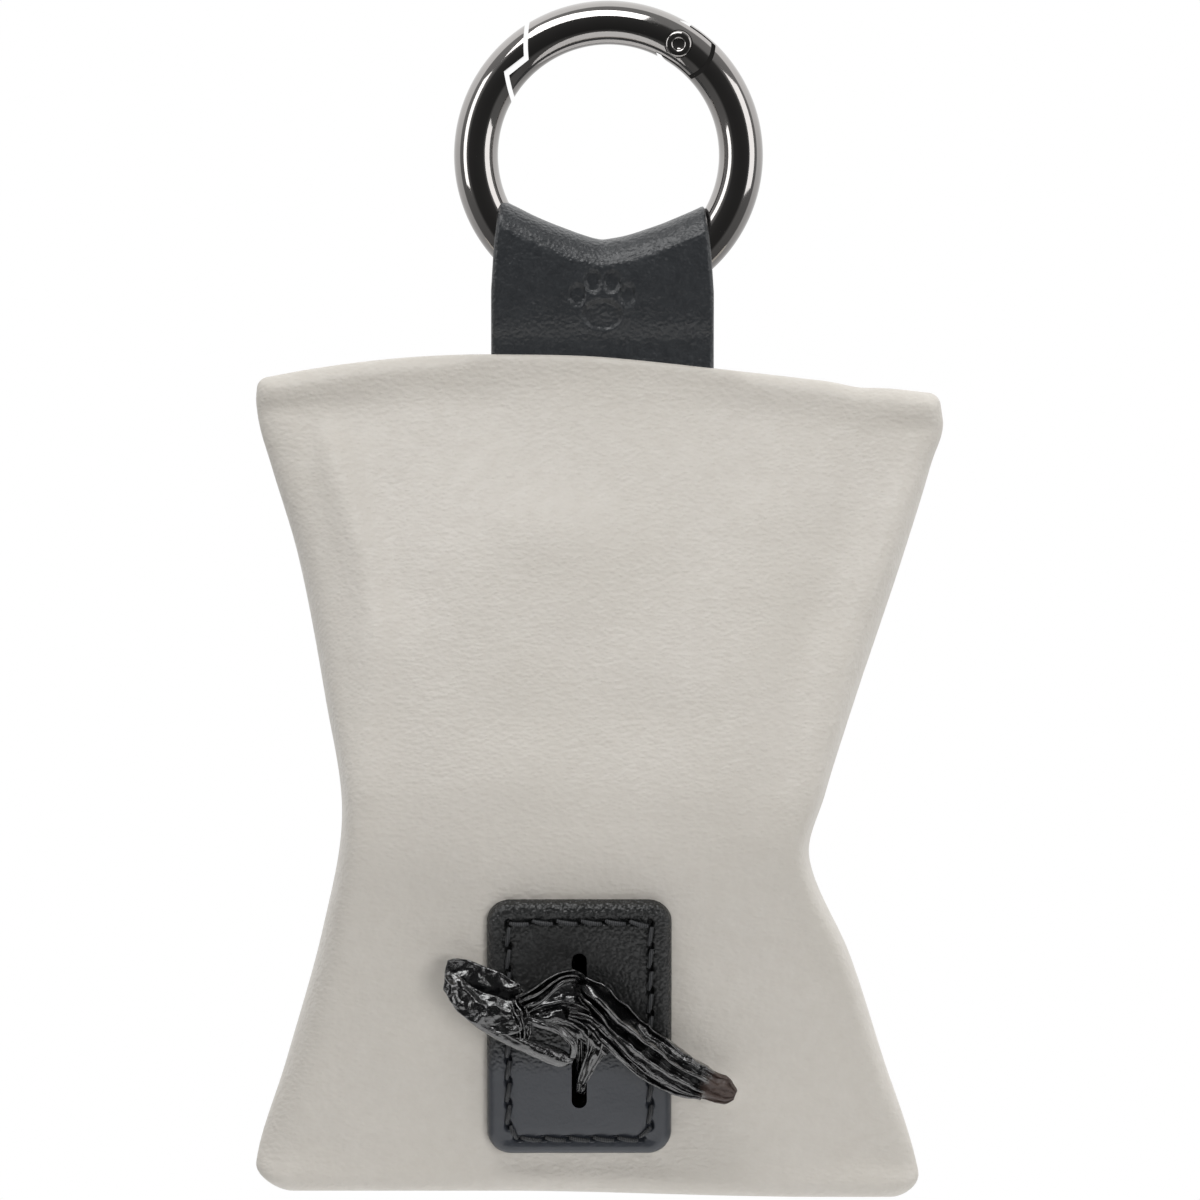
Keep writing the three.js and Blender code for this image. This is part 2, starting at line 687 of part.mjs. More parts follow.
// The pull lies back along the closed chain. Its cross bar is the hinge, under the slider's bail.
function zipPull() {
  const thick = PULL_BAR_RADIUS;
  const armInner = 0.95;
  const armOuter = 1.8;
  const bar = new THREE.CylinderGeometry(PULL_BAR_RADIUS, PULL_BAR_RADIUS, 2 * armOuter, 12);
  bar.rotateX(Math.PI / 2).translate(0, PULL_AXIS_OUT, 0);
  const plate = roundedRectangle(PULL_LENGTH - PULL_EYE, 2 * PULL_HALF_WIDTH, 1.6);
  const middle = -(PULL_LENGTH + PULL_EYE) / 2;
  const leaf = slab(plate, PULL_AXIS_OUT - thick, PULL_AXIS_OUT + thick, { curveSegments: 4 });
  const arm = (z0, z1) =>
    solidOf(block(-PULL_EYE - 1, 0, PULL_AXIS_OUT - thick * 0.9, PULL_AXIS_OUT + thick * 0.9, z0, z1));
  const hole = slab(disc(-PULL_LENGTH + 2.6, 0, 1), 0, 4);
  return solidOf(bar)
    .add(solidOf(leaf.translate(middle, 0, 0)))
    .add(arm(armInner, armOuter))
    .add(arm(-armOuter, -armInner))
    .subtract(solidOf(hole));
}

function zip() {
  const slider = group(
    [SLIDER_X, 0, 0],
    0,
    piece("zip_slider", zipSlider(), look.spring()),
    piece("zip_pull", zipPull(), look.spring()),
  );
  return onBackPanel(
    piece("zip_tape_upper", zipTape(1), look.tape()),
    piece("zip_tape_lower", zipTape(-1), look.tape()),
    piece("zip_coil_upper", zipCoil(1), look.coil()),
    piece("zip_coil_lower", zipCoil(-1), look.coil()),
    piece("zip_closed_stop", zipStop(1), look.spring()),
    piece("zip_open_stop", zipStop(-1), look.spring()),
    piece("zip_stitching", threadLoop(WINDOW_LENGTH + 3, 2 * WINDOW_HALF + 3, 2.4, GAP), look.thread()),
    slider,
  );
}

// --- bags ---------------------------------------------------------------------------------------

function hollowRoll(inner, outer, length, edge) {
  const half = length / 2;
  const profile = [
    [inner, -half],
    [outer - edge, -half],
    [outer, -half + edge],
    [outer, half - edge],
    [outer - edge, half],
    [inner, half],
    [inner, -half],
  ];
  return turned(profile, 32).rotateZ(-Math.PI / 2);
}

// The end of the next bag, gathered outside the slit like a bow: a short wing and a longer, pleated tail.
function bagTail() {
  const bow = new THREE.Shape();
  bow.moveTo(-15, 7);
  bow.quadraticCurveTo(-9.5, 6.2, -6.2, 3.4);
  bow.quadraticCurveTo(-2.5, 7.6, 1.2, 5.6);
  bow.quadraticCurveTo(8, 1, 15.4, -4.4);
  bow.quadraticCurveTo(18.6, -7.2, 15.2, -8.8);
  bow.quadraticCurveTo(8, -8.4, 1, -2.6);
  bow.quadraticCurveTo(-0.6, -5.6, -6, -3.2);
  bow.quadraticCurveTo(-12, -0.6, -15.2, 4);
  bow.closePath();
  const lift = -GAP - PATCH_THICK - 0.8;
  const frame = onFrontPanel(new THREE.Group());
  const tuft = slab(bow, lift - 5, lift, { curveSegments: 5, bevel: 1.2 });
  const neckHalf = SLIT_WIDTH / 2 - GAP;
  const neck = block(-neckHalf, neckHalf, -14, -1, -114.5, -105.5).translate(PATCH_X, 0, 0);
  return placed(tuft, frame).add(solidOf(neck));
}

// The flat film that runs from the roll to the slit.
function bagLeader() {
  const start = new THREE.Vector2(-11.9, -97.8);
  const end = new THREE.Vector2(-4.6, -105);
  const middle = start.clone().add(end).multiplyScalar(0.5);
  const span = end.clone().sub(start);
  const strip = new THREE.BoxGeometry(9, span.length(), 0.5);
  strip.rotateX(Math.atan2(span.y, span.x));
  return strip.translate(PATCH_X, middle.x, middle.y);
}

function bags() {
  const wound = hollowRoll(CORE_RADIUS + GAP, ROLL_RADIUS, ROLL_LENGTH, 1);
  const core = hollowRoll(CORE_RADIUS - CORE_WALL, CORE_RADIUS, ROLL_LENGTH, 0.2);
  const roll = group(
    [ROLL_X, 0, ROLL_Z],
    0,
    piece("bag_roll", wound, look.film()),
    piece("roll_core", core, look.core()),
  );
  return group(
    [0, 0, 0],
    0,
    roll,
    piece("bag_leader", bagLeader(), look.film()),
    piece("bag_tail", bagTail(), look.film()),
  );
}

// --- assembly -----------------------------------------------------------------------------------

function hanger() {
  return group(
    [TAB_CENTRE_X, 0, 0],
    0,
    piece("hanger_tab", hangerTab(), look.black()),
    piece("hanger_tab_root", hangerTabRoot(), look.black()),
  );
}

export default group(
  [0, 0, 0],
  0,
  ring(),
  hanger(),
  piece("pouch_shell", pouchShell(), look.pouch()),
  patch(),
  zip(),
  bags(),
);
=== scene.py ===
import json
import math

import bmesh
import bpy
import numpy as np
from mathutils import Matrix, Vector, noise


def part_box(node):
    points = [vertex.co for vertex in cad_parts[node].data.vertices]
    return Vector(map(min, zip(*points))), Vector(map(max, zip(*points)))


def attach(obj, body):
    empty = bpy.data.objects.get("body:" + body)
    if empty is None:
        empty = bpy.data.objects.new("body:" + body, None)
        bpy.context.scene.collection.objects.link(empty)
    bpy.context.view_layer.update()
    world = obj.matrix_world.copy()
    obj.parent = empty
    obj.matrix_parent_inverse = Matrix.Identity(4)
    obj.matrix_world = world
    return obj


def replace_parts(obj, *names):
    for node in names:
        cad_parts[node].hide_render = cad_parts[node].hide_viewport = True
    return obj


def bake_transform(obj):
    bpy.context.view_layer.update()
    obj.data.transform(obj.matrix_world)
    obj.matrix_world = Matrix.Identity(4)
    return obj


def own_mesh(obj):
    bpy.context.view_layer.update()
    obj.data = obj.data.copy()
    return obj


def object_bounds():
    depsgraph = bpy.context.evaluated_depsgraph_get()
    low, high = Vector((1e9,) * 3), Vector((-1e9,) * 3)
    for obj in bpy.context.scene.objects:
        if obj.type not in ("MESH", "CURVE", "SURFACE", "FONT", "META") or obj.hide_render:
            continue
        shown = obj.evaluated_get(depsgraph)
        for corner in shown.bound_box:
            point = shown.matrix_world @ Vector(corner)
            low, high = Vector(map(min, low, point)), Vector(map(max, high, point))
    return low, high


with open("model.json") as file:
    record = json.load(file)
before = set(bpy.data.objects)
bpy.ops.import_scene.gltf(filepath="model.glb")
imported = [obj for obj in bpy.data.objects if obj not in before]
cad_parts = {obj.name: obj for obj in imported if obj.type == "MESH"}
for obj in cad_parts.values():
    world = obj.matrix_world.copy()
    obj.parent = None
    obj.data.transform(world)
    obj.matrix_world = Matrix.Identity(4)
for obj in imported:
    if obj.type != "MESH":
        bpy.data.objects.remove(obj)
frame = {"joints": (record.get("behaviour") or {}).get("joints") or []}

cad_low, cad_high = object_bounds()

# Dog waste-bag pouch. Shapes are worked out in millimetres, in the CAD frame, and become metres in
# add_piece().
MM = 0.001


def node_centre(node):
    low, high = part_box(node)
    return (low + high) / 2 / MM


def node_size(node):
    low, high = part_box(node)
    return (high - low) / MM


def joint_place(name):
    return Vector(next(j for j in frame["joints"] if j["name"] == name)["pos_m"]) / MM


# Ring
WIRE = 2.5
RING_MEAN = 15.0
RING = Vector((0, 0, -(RING_MEAN - WIRE)))
PIN = joint_place("gate_hinge")
PIN_ANGLE = math.degrees(math.atan2(PIN.z - RING.z, PIN.x))
PIN_HOLE = 0.98
NOSE = 17.05
LIP = 19.5
BORE_ANGLE = PIN_ANGLE + 105
CHEEK = 3.7
SHOULDER = 4.2
PAST_WIRE = 4

# Strap
STRAP = 1.2
TAB = node_centre("hanger_tab_root")
TAB_WIDTH = node_size("hanger_tab_root").x
FOLD_Z = -26.4
TAB_BOTTOM_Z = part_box("hanger_tab")[0].z / MM
FOLD_RISE = 4.3

# Pouch
WALL = 1.2
DEEPEST_DENT = -0.85
POUCH_TOP_Z = -35.0
POUCH_BOTTOM_Z = -129.8
FOOT_HALF = 2.5
SEAM_HALF = 2.6
SEAM_ROUND = 1.9
SEAM_DEPTH = 4.5
UPPER_FOOT_Z = -41.0
LOWER_FOOT_Z = -126.0
UPPER_LENGTH = 47.0
UPPER_SLOPE = 0.317
LOWER_SLOPE = 0.406
RIDGE_HALF = 5.7
LEFT_CORNER = 4.5
RIGHT_CORNER = 2.6
LEFT_EDGE = [
    (-130.5, -38.6), (-126.5, -39.9), (-115, -36.5), (-100, -32.3), (-87, -30.1),
    (-74, -32), (-58, -35.1), (-45, -38.9), (-38, -39.9), (-34, -39.6),
]
RIGHT_EDGE = [
    (-131, 34.4), (-127, 35.1), (-115, 31.2), (-103, 27.3), (-92, 22.7), (-85, 24.4),
    (-74, 27.9), (-58, 33.3), (-45, 37.2), (-40, 37.9), (-36, 37.6),
]

# Patch, slit and tuft
PATCH_X = -3.3
PATCH_Z = -110.8
PATCH_WIDTH = 20.8
PATCH_LENGTH = 30.8
PATCH_CORNER = 2.7
PATCH_HEIGHT = 1.8
SLIT_HALF = 0.86
SLIT_TOP_Z = -103.5
SLIT_BOTTOM_Z = -119.4

# Zip
ZIP_X = -1.2
ZIP_Z = -53.5
WINDOW_LENGTH = 51.0
WINDOW_HALF = 4.0
TAPE_OUT = -1.5
COIL_HALF = 23.2
SLIDER_X = 19.0

# Bag roll
ROLL = joint_place("roll_turn")
ROLL_RADIUS = 14.5
ROLL_LENGTH = 46.0
CORE_RADIUS = 6.2


# --- meshes -------------------------------------------------------------------------------------

def new_object(name, points, faces):
    mesh = bpy.data.meshes.new(name)
    mesh.from_pydata([tuple(p) for p in points], [], faces)
    mesh.validate()
    made = bpy.data.objects.new(name, mesh)
    bpy.context.scene.collection.objects.link(made)
    return made


def outward(obj):
    """Points the faces of a closed mesh outwards and joins the vertices that lie together."""
    work = bmesh.new()
    work.from_mesh(obj.data)
    bmesh.ops.remove_doubles(work, verts=work.verts, dist=1e-4)
    bmesh.ops.dissolve_degenerate(work, edges=work.edges, dist=1e-5)
    bmesh.ops.recalc_face_normals(work, faces=work.faces)
    work.to_mesh(obj.data)
    work.free()
    return obj


def applied(obj):
    """Replaces an object's mesh by the one its modifiers make."""
    bpy.context.view_layer.update()
    graph = bpy.context.evaluated_depsgraph_get()
    mesh = bpy.data.meshes.new_from_object(obj.evaluated_get(graph))
    obj.modifiers.clear()
    obj.data = mesh
    return obj


def boolean(base, operation, *tools):
    for tool in tools:
        modifier = base.modifiers.new(operation, "BOOLEAN")
        modifier.operation = operation
        modifier.solver = "EXACT"
        modifier.object = tool
    applied(base)
    for tool in tools:
        bpy.data.objects.remove(tool)
    return base


def add_piece(obj, name, material, sharp):
    """Turns a mesh made in millimetres into a piece in metres, smooth but for its sharp edges."""
    obj.name = name
    obj.data.name = name
    obj.data.transform(Matrix.Scale(MM, 4))
    obj.data.materials.clear()
    obj.data.materials.append(material)
    obj.data.shade_smooth()
    if sharp:
        obj.data.set_sharp_from_angle(angle=math.radians(sharp))
    return obj


def finish(obj, name, material, body, node, slot, sharp=40):
    """Makes a mesh the piece that rides on a body in place of a CAD node."""
    piece = add_piece(obj, name, material, sharp)
    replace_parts(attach(piece, body), node)
    return piece


class Body:
    """Gathers several shapes into one mesh."""

    def __init__(self):
        self.points = []
        self.faces = []

    def add(self, points, faces):
        start = len(self.points)
        self.points.extend(tuple(p) for p in points)
        self.faces.extend(tuple(start + i for i in face) for face in faces)
        return self

    def object(self):
        return solid((self.points, self.faces))


def grid_faces(rows, columns, close_rows=False, close_columns=False):
    faces = []
    for i in range(rows if close_rows else rows - 1):
        for j in range(columns if close_columns else columns - 1):
            a, b = i * columns, ((i + 1) % rows) * columns
            k = (j + 1) % columns
            faces.append((a + j, a + k, b + k, b + j))
    return faces


def loft(loops):
    """A closed solid through loops of points that all have the same length."""
    rows, columns = len(loops), len(loops[0])
    faces = grid_faces(rows, columns, close_columns=True)
    faces.append(tuple(range(columns)))
    faces.append(tuple((rows - 1) * columns + j for j in range(columns)))
    return [p for loop in loops for p in loop], faces


def circle(radius, count):
    turns = [2 * math.pi * k / count for k in range(count)]
    return [(radius * math.cos(a), radius * math.sin(a)) for a in turns]


def frames_along(path):
    """Two directions across a path at each of its points, turning as little as possible."""
    points = [Vector(p) for p in path]
    tangents = [
        (points[min(i + 1, len(points) - 1)] - points[max(i - 1, 0)]).normalized()
        for i in range(len(points))
    ]
    side = tangents[0].orthogonal().normalized()
    found = []
    for tangent in tangents:
        side = (side - tangent * side.dot(tangent)).normalized()
        found.append((side, tangent.cross(side)))
    return found


def tube(path, radius, sides=8):
    """A round tube along a path. radius is a number or one for each point."""
    radii = radius if hasattr(radius, "__len__") else [radius] * len(path)
    loops = [
        [Vector(p) + a * u + b * v for u, v in circle(r, sides)]
        for p, r, (a, b) in zip(path, radii, frames_along(path))
    ]
    return loft(loops)


def prism(outline, y0, y1):
    """An outline of (x, z) points, given thickness along Y."""
    return loft([[(x, y, z) for x, z in outline] for y in (y0, y1)])


def lathe(profile, segments=48):
    """A profile of (radius, y) points turned about the Y axis.

    The profile starts and ends on the axis, or closes on itself."""
    loops = []
    for k in range(segments):
        c, s = math.cos(2 * math.pi * k / segments), math.sin(2 * math.pi * k / segments)
        loops.append([(r * c, y, r * s) for r, y in profile])
    columns = len(profile)
    return [p for loop in loops for p in loop], grid_faces(segments, columns, True, True)


def solid(shape):
    return outward(new_object("part", *shape))


def moved(obj, matrix):
    obj.data.transform(matrix)
    return obj


def arc(centre, radius, start, stop, count):
    """Points (x, z) on an arc, between angles in degrees."""
    angles = np.radians(np.linspace(start, stop, count))
    return [(centre[0] + radius * math.cos(a), centre[1] + radius * math.sin(a)) for a in angles]


def rounded_rectangle(width, length, corner, count=10):
    x, z = width / 2 - corner, length / 2 - corner
    outline = []
    for cx, cz, start in ((x, z, 0), (-x, z, 90), (-x, -z, 180), (x, -z, 270)):
        outline += arc((cx, cz), corner, start, start + 90, count)
    return outline


def smooth_curve(points, count):
    """Evenly sampled Catmull-Rom curve through points of any dimension."""
    p = np.array(points, float)
    p = np.vstack([2 * p[0] - p[1], p, 2 * p[-1] - p[-2]])
    found = []
    for s in np.linspace(0, len(points) - 1, count):
        i = min(int(s), len(points) - 2)
        t = s - i
        a, b, c, d = p[i:i + 4]
        found.append(0.5 * (2 * b + (c - a) * t + (2 * a - 5 * b + 4 * c - d) * t * t
                            + (3 * b - a - 3 * c + d) * t ** 3))
    return np.array(found)


def clamp(value, low=0, high=1):
    return min(max(value, low), high)


def smoothstep(value, low, high):
    t = clamp((value - low) / (high - low))
    return t * t * (3 - 2 * t)


def beyond(x, z, half_width, half_height):
    """Distance of a point from a rectangle about the origin, or 0 inside it."""
    return math.hypot(max(abs(x) - half_width, 0), max(abs(z) - half_height, 0))


def smooth_max(a, b, sharpness):
    return math.log(math.exp(sharpness * a) + math.exp(sharpness * b)) / sharpness


def hump(value, middle, width):
    """1 in the middle, about a third at that width on either side of it, and 0 far off."""
    return math.exp(-((value - middle) / width) ** 2)


def rumple(point, size, seed=0.0):
    """Smooth noise from -1 to 1, whose lumps are about size across."""
    return noise.noise(Vector(point) / size + Vector((seed, seed * 0.7, -seed)))


def panel_frame(x, y, z, slope):
    """Places a flat piece on a sloping panel: Y points backwards out of it, and Z runs up along it."""
    return Matrix.Translation((x, y, z)) @ Matrix.Rotation(math.atan(slope), 4, "X")


# --- materials ----------------------------------------------------------------------------------

class Nodes:
    """A node tree. Sockets are set by name, and a value that is itself a socket is linked."""

    def __init__(self, tree):
        self.tree = tree

    def node(self, kind, inputs=None, **settings):
        made = self.tree.nodes.new(kind)
        for key, value in settings.items():
            setattr(made, key, value)
        for key, value in (inputs or {}).items():
            self.set(made.inputs[key], value)
        return made

    def set(self, socket, value):
        if isinstance(value, bpy.types.NodeSocket):
            self.tree.links.new(value, socket)
        else:
            socket.default_value = value


class Look(Nodes):
    """A material of one Principled shader."""

    def __init__(self, name):
        self.material = bpy.data.materials.new(name)
        self.material.use_nodes = True
        super().__init__(self.material.node_tree)
        self.shader = self.tree.nodes["Principled BSDF"]
        self.place = self.node("ShaderNodeTexCoord").outputs["Object"]

    def principled(self, **values):
        for key, value in values.items():
            self.set(self.shader.inputs[key.replace("_", " ")], value)
        return self

    def noise(self, size, detail=4.0, rough=0.5, stretch=(1, 1, 1)):
        """Noise from 0 to 1. size is that of its lumps, in metres."""
        place = self.node("ShaderNodeMapping", {"Vector": self.place, "Scale": stretch}).outputs[0]
        inputs = {"Vector": place, "Scale": 1 / size, "Detail": detail, "Roughness": rough}
        return self.node("ShaderNodeTexNoise", inputs).outputs["Fac"]

    def cells(self, size, stretch=(1, 1, 1), feature="F1"):
        """Distance from the middle of the nearest grain cell."""
        place = self.node("ShaderNodeMapping", {"Vector": self.place, "Scale": stretch}).outputs[0]
        made = self.node("ShaderNodeTexVoronoi", {"Vector": place, "Scale": 1 / size}, feature=feature)
        return made.outputs["Distance"]

    def maths(self, operation, a, b=0.0):
        return self.node("ShaderNodeMath", {0: a, 1: b}, operation=operation).outputs[0]

    def spread(self, value, low, high, to_low, to_high):
        inputs = {0: value, 1: low, 2: high, 3: to_low, 4: to_high}
        return self.node("ShaderNodeMapRange", inputs).outputs[0]

    def mix(self, factor, a, b):
        return self.node("ShaderNodeMix", {0: factor, 6: a, 7: b}, data_type="RGBA").outputs[2]

    def bump(self, height, depth, below=None):
        """Bumps of that depth, in metres, on top of the bumps in below."""
        inputs = {"Height": height, "Distance": depth, "Strength": 1.0}
        if below is not None:
            inputs["Normal"] = below
        return self.node("ShaderNodeBump", inputs).outputs["Normal"]


def colour(red, green, blue):
    """sRGB, from 0 to 255, as a linear colour."""
    def linear(v):
        v /= 255
        return v / 12.92 if v <= 0.04045 else ((v + 0.055) / 1.055) ** 2.4
    return (linear(red), linear(green), linear(blue), 1.0)


def pebbled(look, size, depth, stretch=(1, 1, 1)):
    """The embossed grain of faux leather: rounded pebbles of uneven size with fine pores."""
    pebbles = look.cells(size, stretch, "SMOOTH_F1")
    large = look.noise(size * 2.6, 3, 0.6, stretch)
    fine = look.noise(size * 0.3, 2, 0.5)
    height = look.maths("SUBTRACT", look.maths("MULTIPLY", large, 1.2), pebbles)
    grain = look.bump(height, depth)
    return look.bump(fine, depth * 0.25, grain)


def pouch_leather():
    look = Look("pouch_leather")
    patches = look.noise(0.016, 3, 0.5)
    mottle = look.noise(0.0016, 4, 0.6)
    tone = look.mix(patches, colour(204, 199, 190), colour(211, 206, 199))
    tone = look.mix(look.spread(mottle, 0.3, 0.7, 0, 0.35), tone, colour(197, 191, 182))
    grain = pebbled(look, 0.0005, 0.000085, (0.8, 1, 1.25))
    roughness = look.spread(mottle, 0.3, 0.7, 0.46, 0.6)
    look.principled(Base_Color=tone, Roughness=roughness, Normal=grain, Specular_IOR_Level=0.5)
    look.principled(Sheen_Weight=0.12, Sheen_Roughness=0.4)
    return look.material


def black_leather():
    look = Look("black_leather")
    mottle = look.noise(0.0012, 4, 0.6)
    tone = look.mix(mottle, colour(36, 38, 41), colour(50, 53, 56))
    grain = pebbled(look, 0.0004, 0.0001)
    roughness = look.spread(mottle, 0.3, 0.7, 0.36, 0.48)
    look.principled(Base_Color=tone, Roughness=roughness, Normal=grain, Specular_IOR_Level=0.5)
    look.principled(Coat_Weight=0.25, Coat_Roughness=0.22, Coat_IOR=1.5, Coat_Normal=grain)
    return look.material


def patch_leather():
    """Thick black leather, pebbled at the top. Towards the bottom it is pressed smooth, and a painted
    reflection makes it lighter and bluer.
    """
    look = Look("patch_leather")
    height = look.node("ShaderNodeSeparateXYZ", {0: look.place}).outputs[2]
    # Mask of the lower part, which is smoother and also carries a painted reflection
    smooth = look.spread(height, -0.1165, -0.1125, 1, 0)
    mottle = look.noise(0.0012, 4, 0.6)
    tone = look.mix(mottle, colour(17, 18, 18), colour(30, 31, 31))
    # Painted reflection: the lower part's colour is lighter and bluer, standing in for the pale floor
    # mirrored in it
    tone = look.mix(smooth, tone, colour(52, 55, 61))
    pebbles = look.maths("SUBTRACT", look.noise(0.0009, 3, 0.6), look.cells(0.00038, feature="SMOOTH_F1"))
    grain = look.bump(look.maths("MULTIPLY", pebbles, look.spread(smooth, 0, 1, 1, 0.08)), 0.00024)
    look.principled(Base_Color=tone, Roughness=look.spread(smooth, 0, 1, 0.4, 0.3), Normal=grain)
    look.principled(Specular_IOR_Level=0.6)
    return look.material


def black_nickel():
    look = Look("black_nickel")
    haze = look.noise(0.003, 5, 0.6)
    scratch = look.noise(0.0004, 3, 0.6, (1, 0.1, 1))
    tone = look.mix(haze, colour(158, 155, 153), colour(170, 167, 165))
    roughness = look.spread(haze, 0.3, 0.7, 0.045, 0.09)
    look.principled(Base_Color=tone, Metallic=1.0, Roughness=roughness)
    look.principled(Normal=look.bump(scratch, 0.0000015))
    return look.material


def bright_nickel():
    look = Look("zip_metal")
    haze = look.noise(0.002, 5, 0.6)
    tone = look.mix(haze, colour(140, 139, 137), colour(158, 157, 155))
    brushed = look.noise(0.0003, 3, 0.6, (0.1, 1, 1))
    look.principled(Base_Color=tone, Metallic=1.0, Roughness=look.spread(haze, 0.3, 0.7, 0.2, 0.32))
    look.principled(Normal=look.bump(brushed, 0.000004))
    return look.material


def thread_look(name, dark, light):
    look = Look(name)
    waves = {"Vector": look.place, "Scale": 1400.0, "Distortion": 3.0}
    twist = look.node("ShaderNodeTexWave", waves).outputs["Fac"]
    look.principled(Base_Color=look.mix(twist, dark, light), Roughness=0.55)
    look.principled(Normal=look.bump(twist, 0.00005))
    return look.material


def woven_tape():
    look = Look("zip_tape")
    pitch = 2 * math.pi / 0.0007
    across = look.node("ShaderNodeSeparateXYZ", {0: look.place}).outputs
    warp = look.maths("SINE", look.maths("MULTIPLY", across[0], pitch))
    weft = look.maths("SINE", look.maths("MULTIPLY", across[2], pitch))
    weave = look.maths("MULTIPLY", warp, weft)
    tone = look.mix(look.spread(weave, -1, 1, 0, 1), colour(158, 150, 141), colour(190, 183, 174))
    look.principled(Base_Color=tone, Roughness=0.85, Normal=look.bump(weave, 0.00004))
    look.principled(Sheen_Weight=0.2)
    return look.material


def nylon_coil():
    look = Look("zip_coil")
    haze = look.noise(0.001, 3, 0.5)
    look.principled(Base_Color=look.mix(haze, colour(186, 180, 172), colour(203, 197, 190)), Roughness=0.32)
    look.principled(Normal=look.bump(haze, 0.00001))
    return look.material


def bag_film():
    """Thin black film, creased all over, and brown at its open end, where light gets through."""
    look = Look("bag_film")
    creases = look.cells(0.0021, (1, 1, 1), "DISTANCE_TO_EDGE")
    crumple = look.noise(0.0016, 5, 0.62)
    fine = look.noise(0.00045, 4, 0.6)
    normal = look.bump(look.spread(creases, 0, 0.25, 0, 1), 0.00005)
    normal = look.bump(crumple, 0.00022, normal)
    normal = look.bump(fine, 0.000015, normal)
    tip = tuple(MM * c for c in (14.4, -9.4, -118.9))
    away = look.node("ShaderNodeVectorMath", {0: look.place, 1: tip}, operation="DISTANCE").outputs["Value"]
    ragged = look.maths("ADD", away, look.maths("MULTIPLY", look.maths("SUBTRACT", crumple, 0.5), 0.002))
    brown = look.spread(ragged, 0.0034, 0.0044, 1, 0)
    tone = look.mix(brown, colour(14, 14, 15), colour(60, 44, 37))
    smooth = look.spread(fine, 0.3, 0.7, 0.1, 0.22)
    roughness = look.maths("MAXIMUM", smooth, look.maths("MULTIPLY", brown, 0.6))
    look.principled(Base_Color=tone, Roughness=roughness, Normal=normal)
    look.principled(Specular_IOR_Level=0.9, Coat_Weight=look.spread(brown, 0, 1, 0.8, 0))
    look.principled(Coat_IOR=1.75, Coat_Roughness=0.08, Coat_Normal=normal)
    return look.material


def cardboard():
    look = Look("roll_core")
    fibre = look.noise(0.0008, 5, 0.65, (0.3, 1, 1))
    look.principled(Base_Color=look.mix(fibre, colour(150, 120, 86), colour(182, 152, 114)), Roughness=0.9)
    look.principled(Normal=look.bump(fibre, 0.00008))
    return look.material


# --- camera and light ---------------------------------------------------------------------------

VIEW_CENTRE = Vector((-0.96, 0, -62.9)) * MM
VIEW_SPAN = 0.1359
SENSOR = 36.0
LENS = 500.0


def make_camera():
    data = bpy.data.cameras.new("camera")
    data.lens = LENS
    data.sensor_width = SENSOR
    camera = bpy.data.objects.new("camera", data)
    distance = VIEW_SPAN * LENS / SENSOR
    camera.location = VIEW_CENTRE + Vector((0, -distance, 0))
    camera.rotation_euler = (math.pi / 2, 0, 0)
    data.clip_start, data.clip_end = 0.05, 20
    bpy.context.scene.collection.objects.link(camera)
    bpy.context.scene.camera = camera


def softbox(name, place, width, height, radiance, reflected=True, lights_matt=True):
    """A rectangular light that faces the middle of the object.

    radiance is its brightness, where 1 is that of a white page. reflected says whether glossy
    surfaces mirror it, and lights_matt whether it lights matt ones."""
    data = bpy.data.lights.new(name, "AREA")
    data.shape = "RECTANGLE"
    data.size, data.size_y = width, height
    data.energy = radiance * math.pi * width * height
    light = bpy.data.objects.new(name, data)
    light.location = place
    light.rotation_euler = (VIEW_CENTRE - Vector(place)).to_track_quat("-Z", "Y").to_euler()
    light.visible_glossy = reflected
    light.visible_diffuse = lights_matt
    bpy.context.scene.collection.objects.link(light)


def make_world():
    """White to the camera. As a light it's dim in front of the object, and bright behind and above it."""
    world = bpy.data.worlds.new("studio")
    bpy.context.scene.world = world
    world.use_nodes = True
    world.node_tree.nodes.clear()
    sky = Nodes(world.node_tree)
    place = sky.node("ShaderNodeTexCoord").outputs["Generated"]
    front = {0: place, 1: (0, -1, 0)}
    facing = sky.node("ShaderNodeVectorMath", front, operation="DOT_PRODUCT").outputs["Value"]
    share = sky.node("ShaderNodeMath", {0: facing, 1: 0.5, 2: 0.5}, operation="MULTIPLY_ADD").outputs[0]
    spread = sky.node("ShaderNodeValToRGB", {0: share})
    steps = spread.color_ramp.elements
    for at, grey in ((0.0, 1.15), (0.46, 1.05), (0.5, 0.3), (0.83, 0.26), (0.9, 0.06), (1.0, 0.05)):
        step = steps.new(at) if 0 < at < 1 else steps[0 if at == 0 else -1]
        step.color = (grey, grey, grey, 1)
    height = sky.node("ShaderNodeSeparateXYZ", {0: place}).outputs[2]
    lift = sky.node("ShaderNodeMapRange", {0: height, 1: -0.7, 2: 0.7, 3: 0.45, 4: 1.25}).outputs[0]
    light = {"Color": spread.outputs[0], "Strength": lift}
    studio = sky.node("ShaderNodeBackground", light).outputs[0]
    page = sky.node("ShaderNodeBackground", {"Color": (1, 1, 1, 1)}).outputs[0]
    camera = sky.node("ShaderNodeLightPath").outputs["Is Camera Ray"]
    seen = sky.node("ShaderNodeMixShader", {0: camera, 1: studio, 2: page}).outputs[0]
    sky.node("ShaderNodeOutputWorld", {"Surface": seen})


def make_floor():
    radius, drop = 0.26, 0.17
    points = [Vector((x, z, 0)) for x, z in circle(radius, 96)]
    floor = new_object("floor", points, [tuple(range(96))])
    floor.location = (0, 0, cad_low.z - drop)
    look = Look("floor")
    tone = look.mix(look.noise(0.2, 2, 0.5), colour(240, 240, 240), colour(246, 246, 246))
    look.principled(Base_Color=tone, Roughness=0.7)
    floor.data.materials.append(look.material)


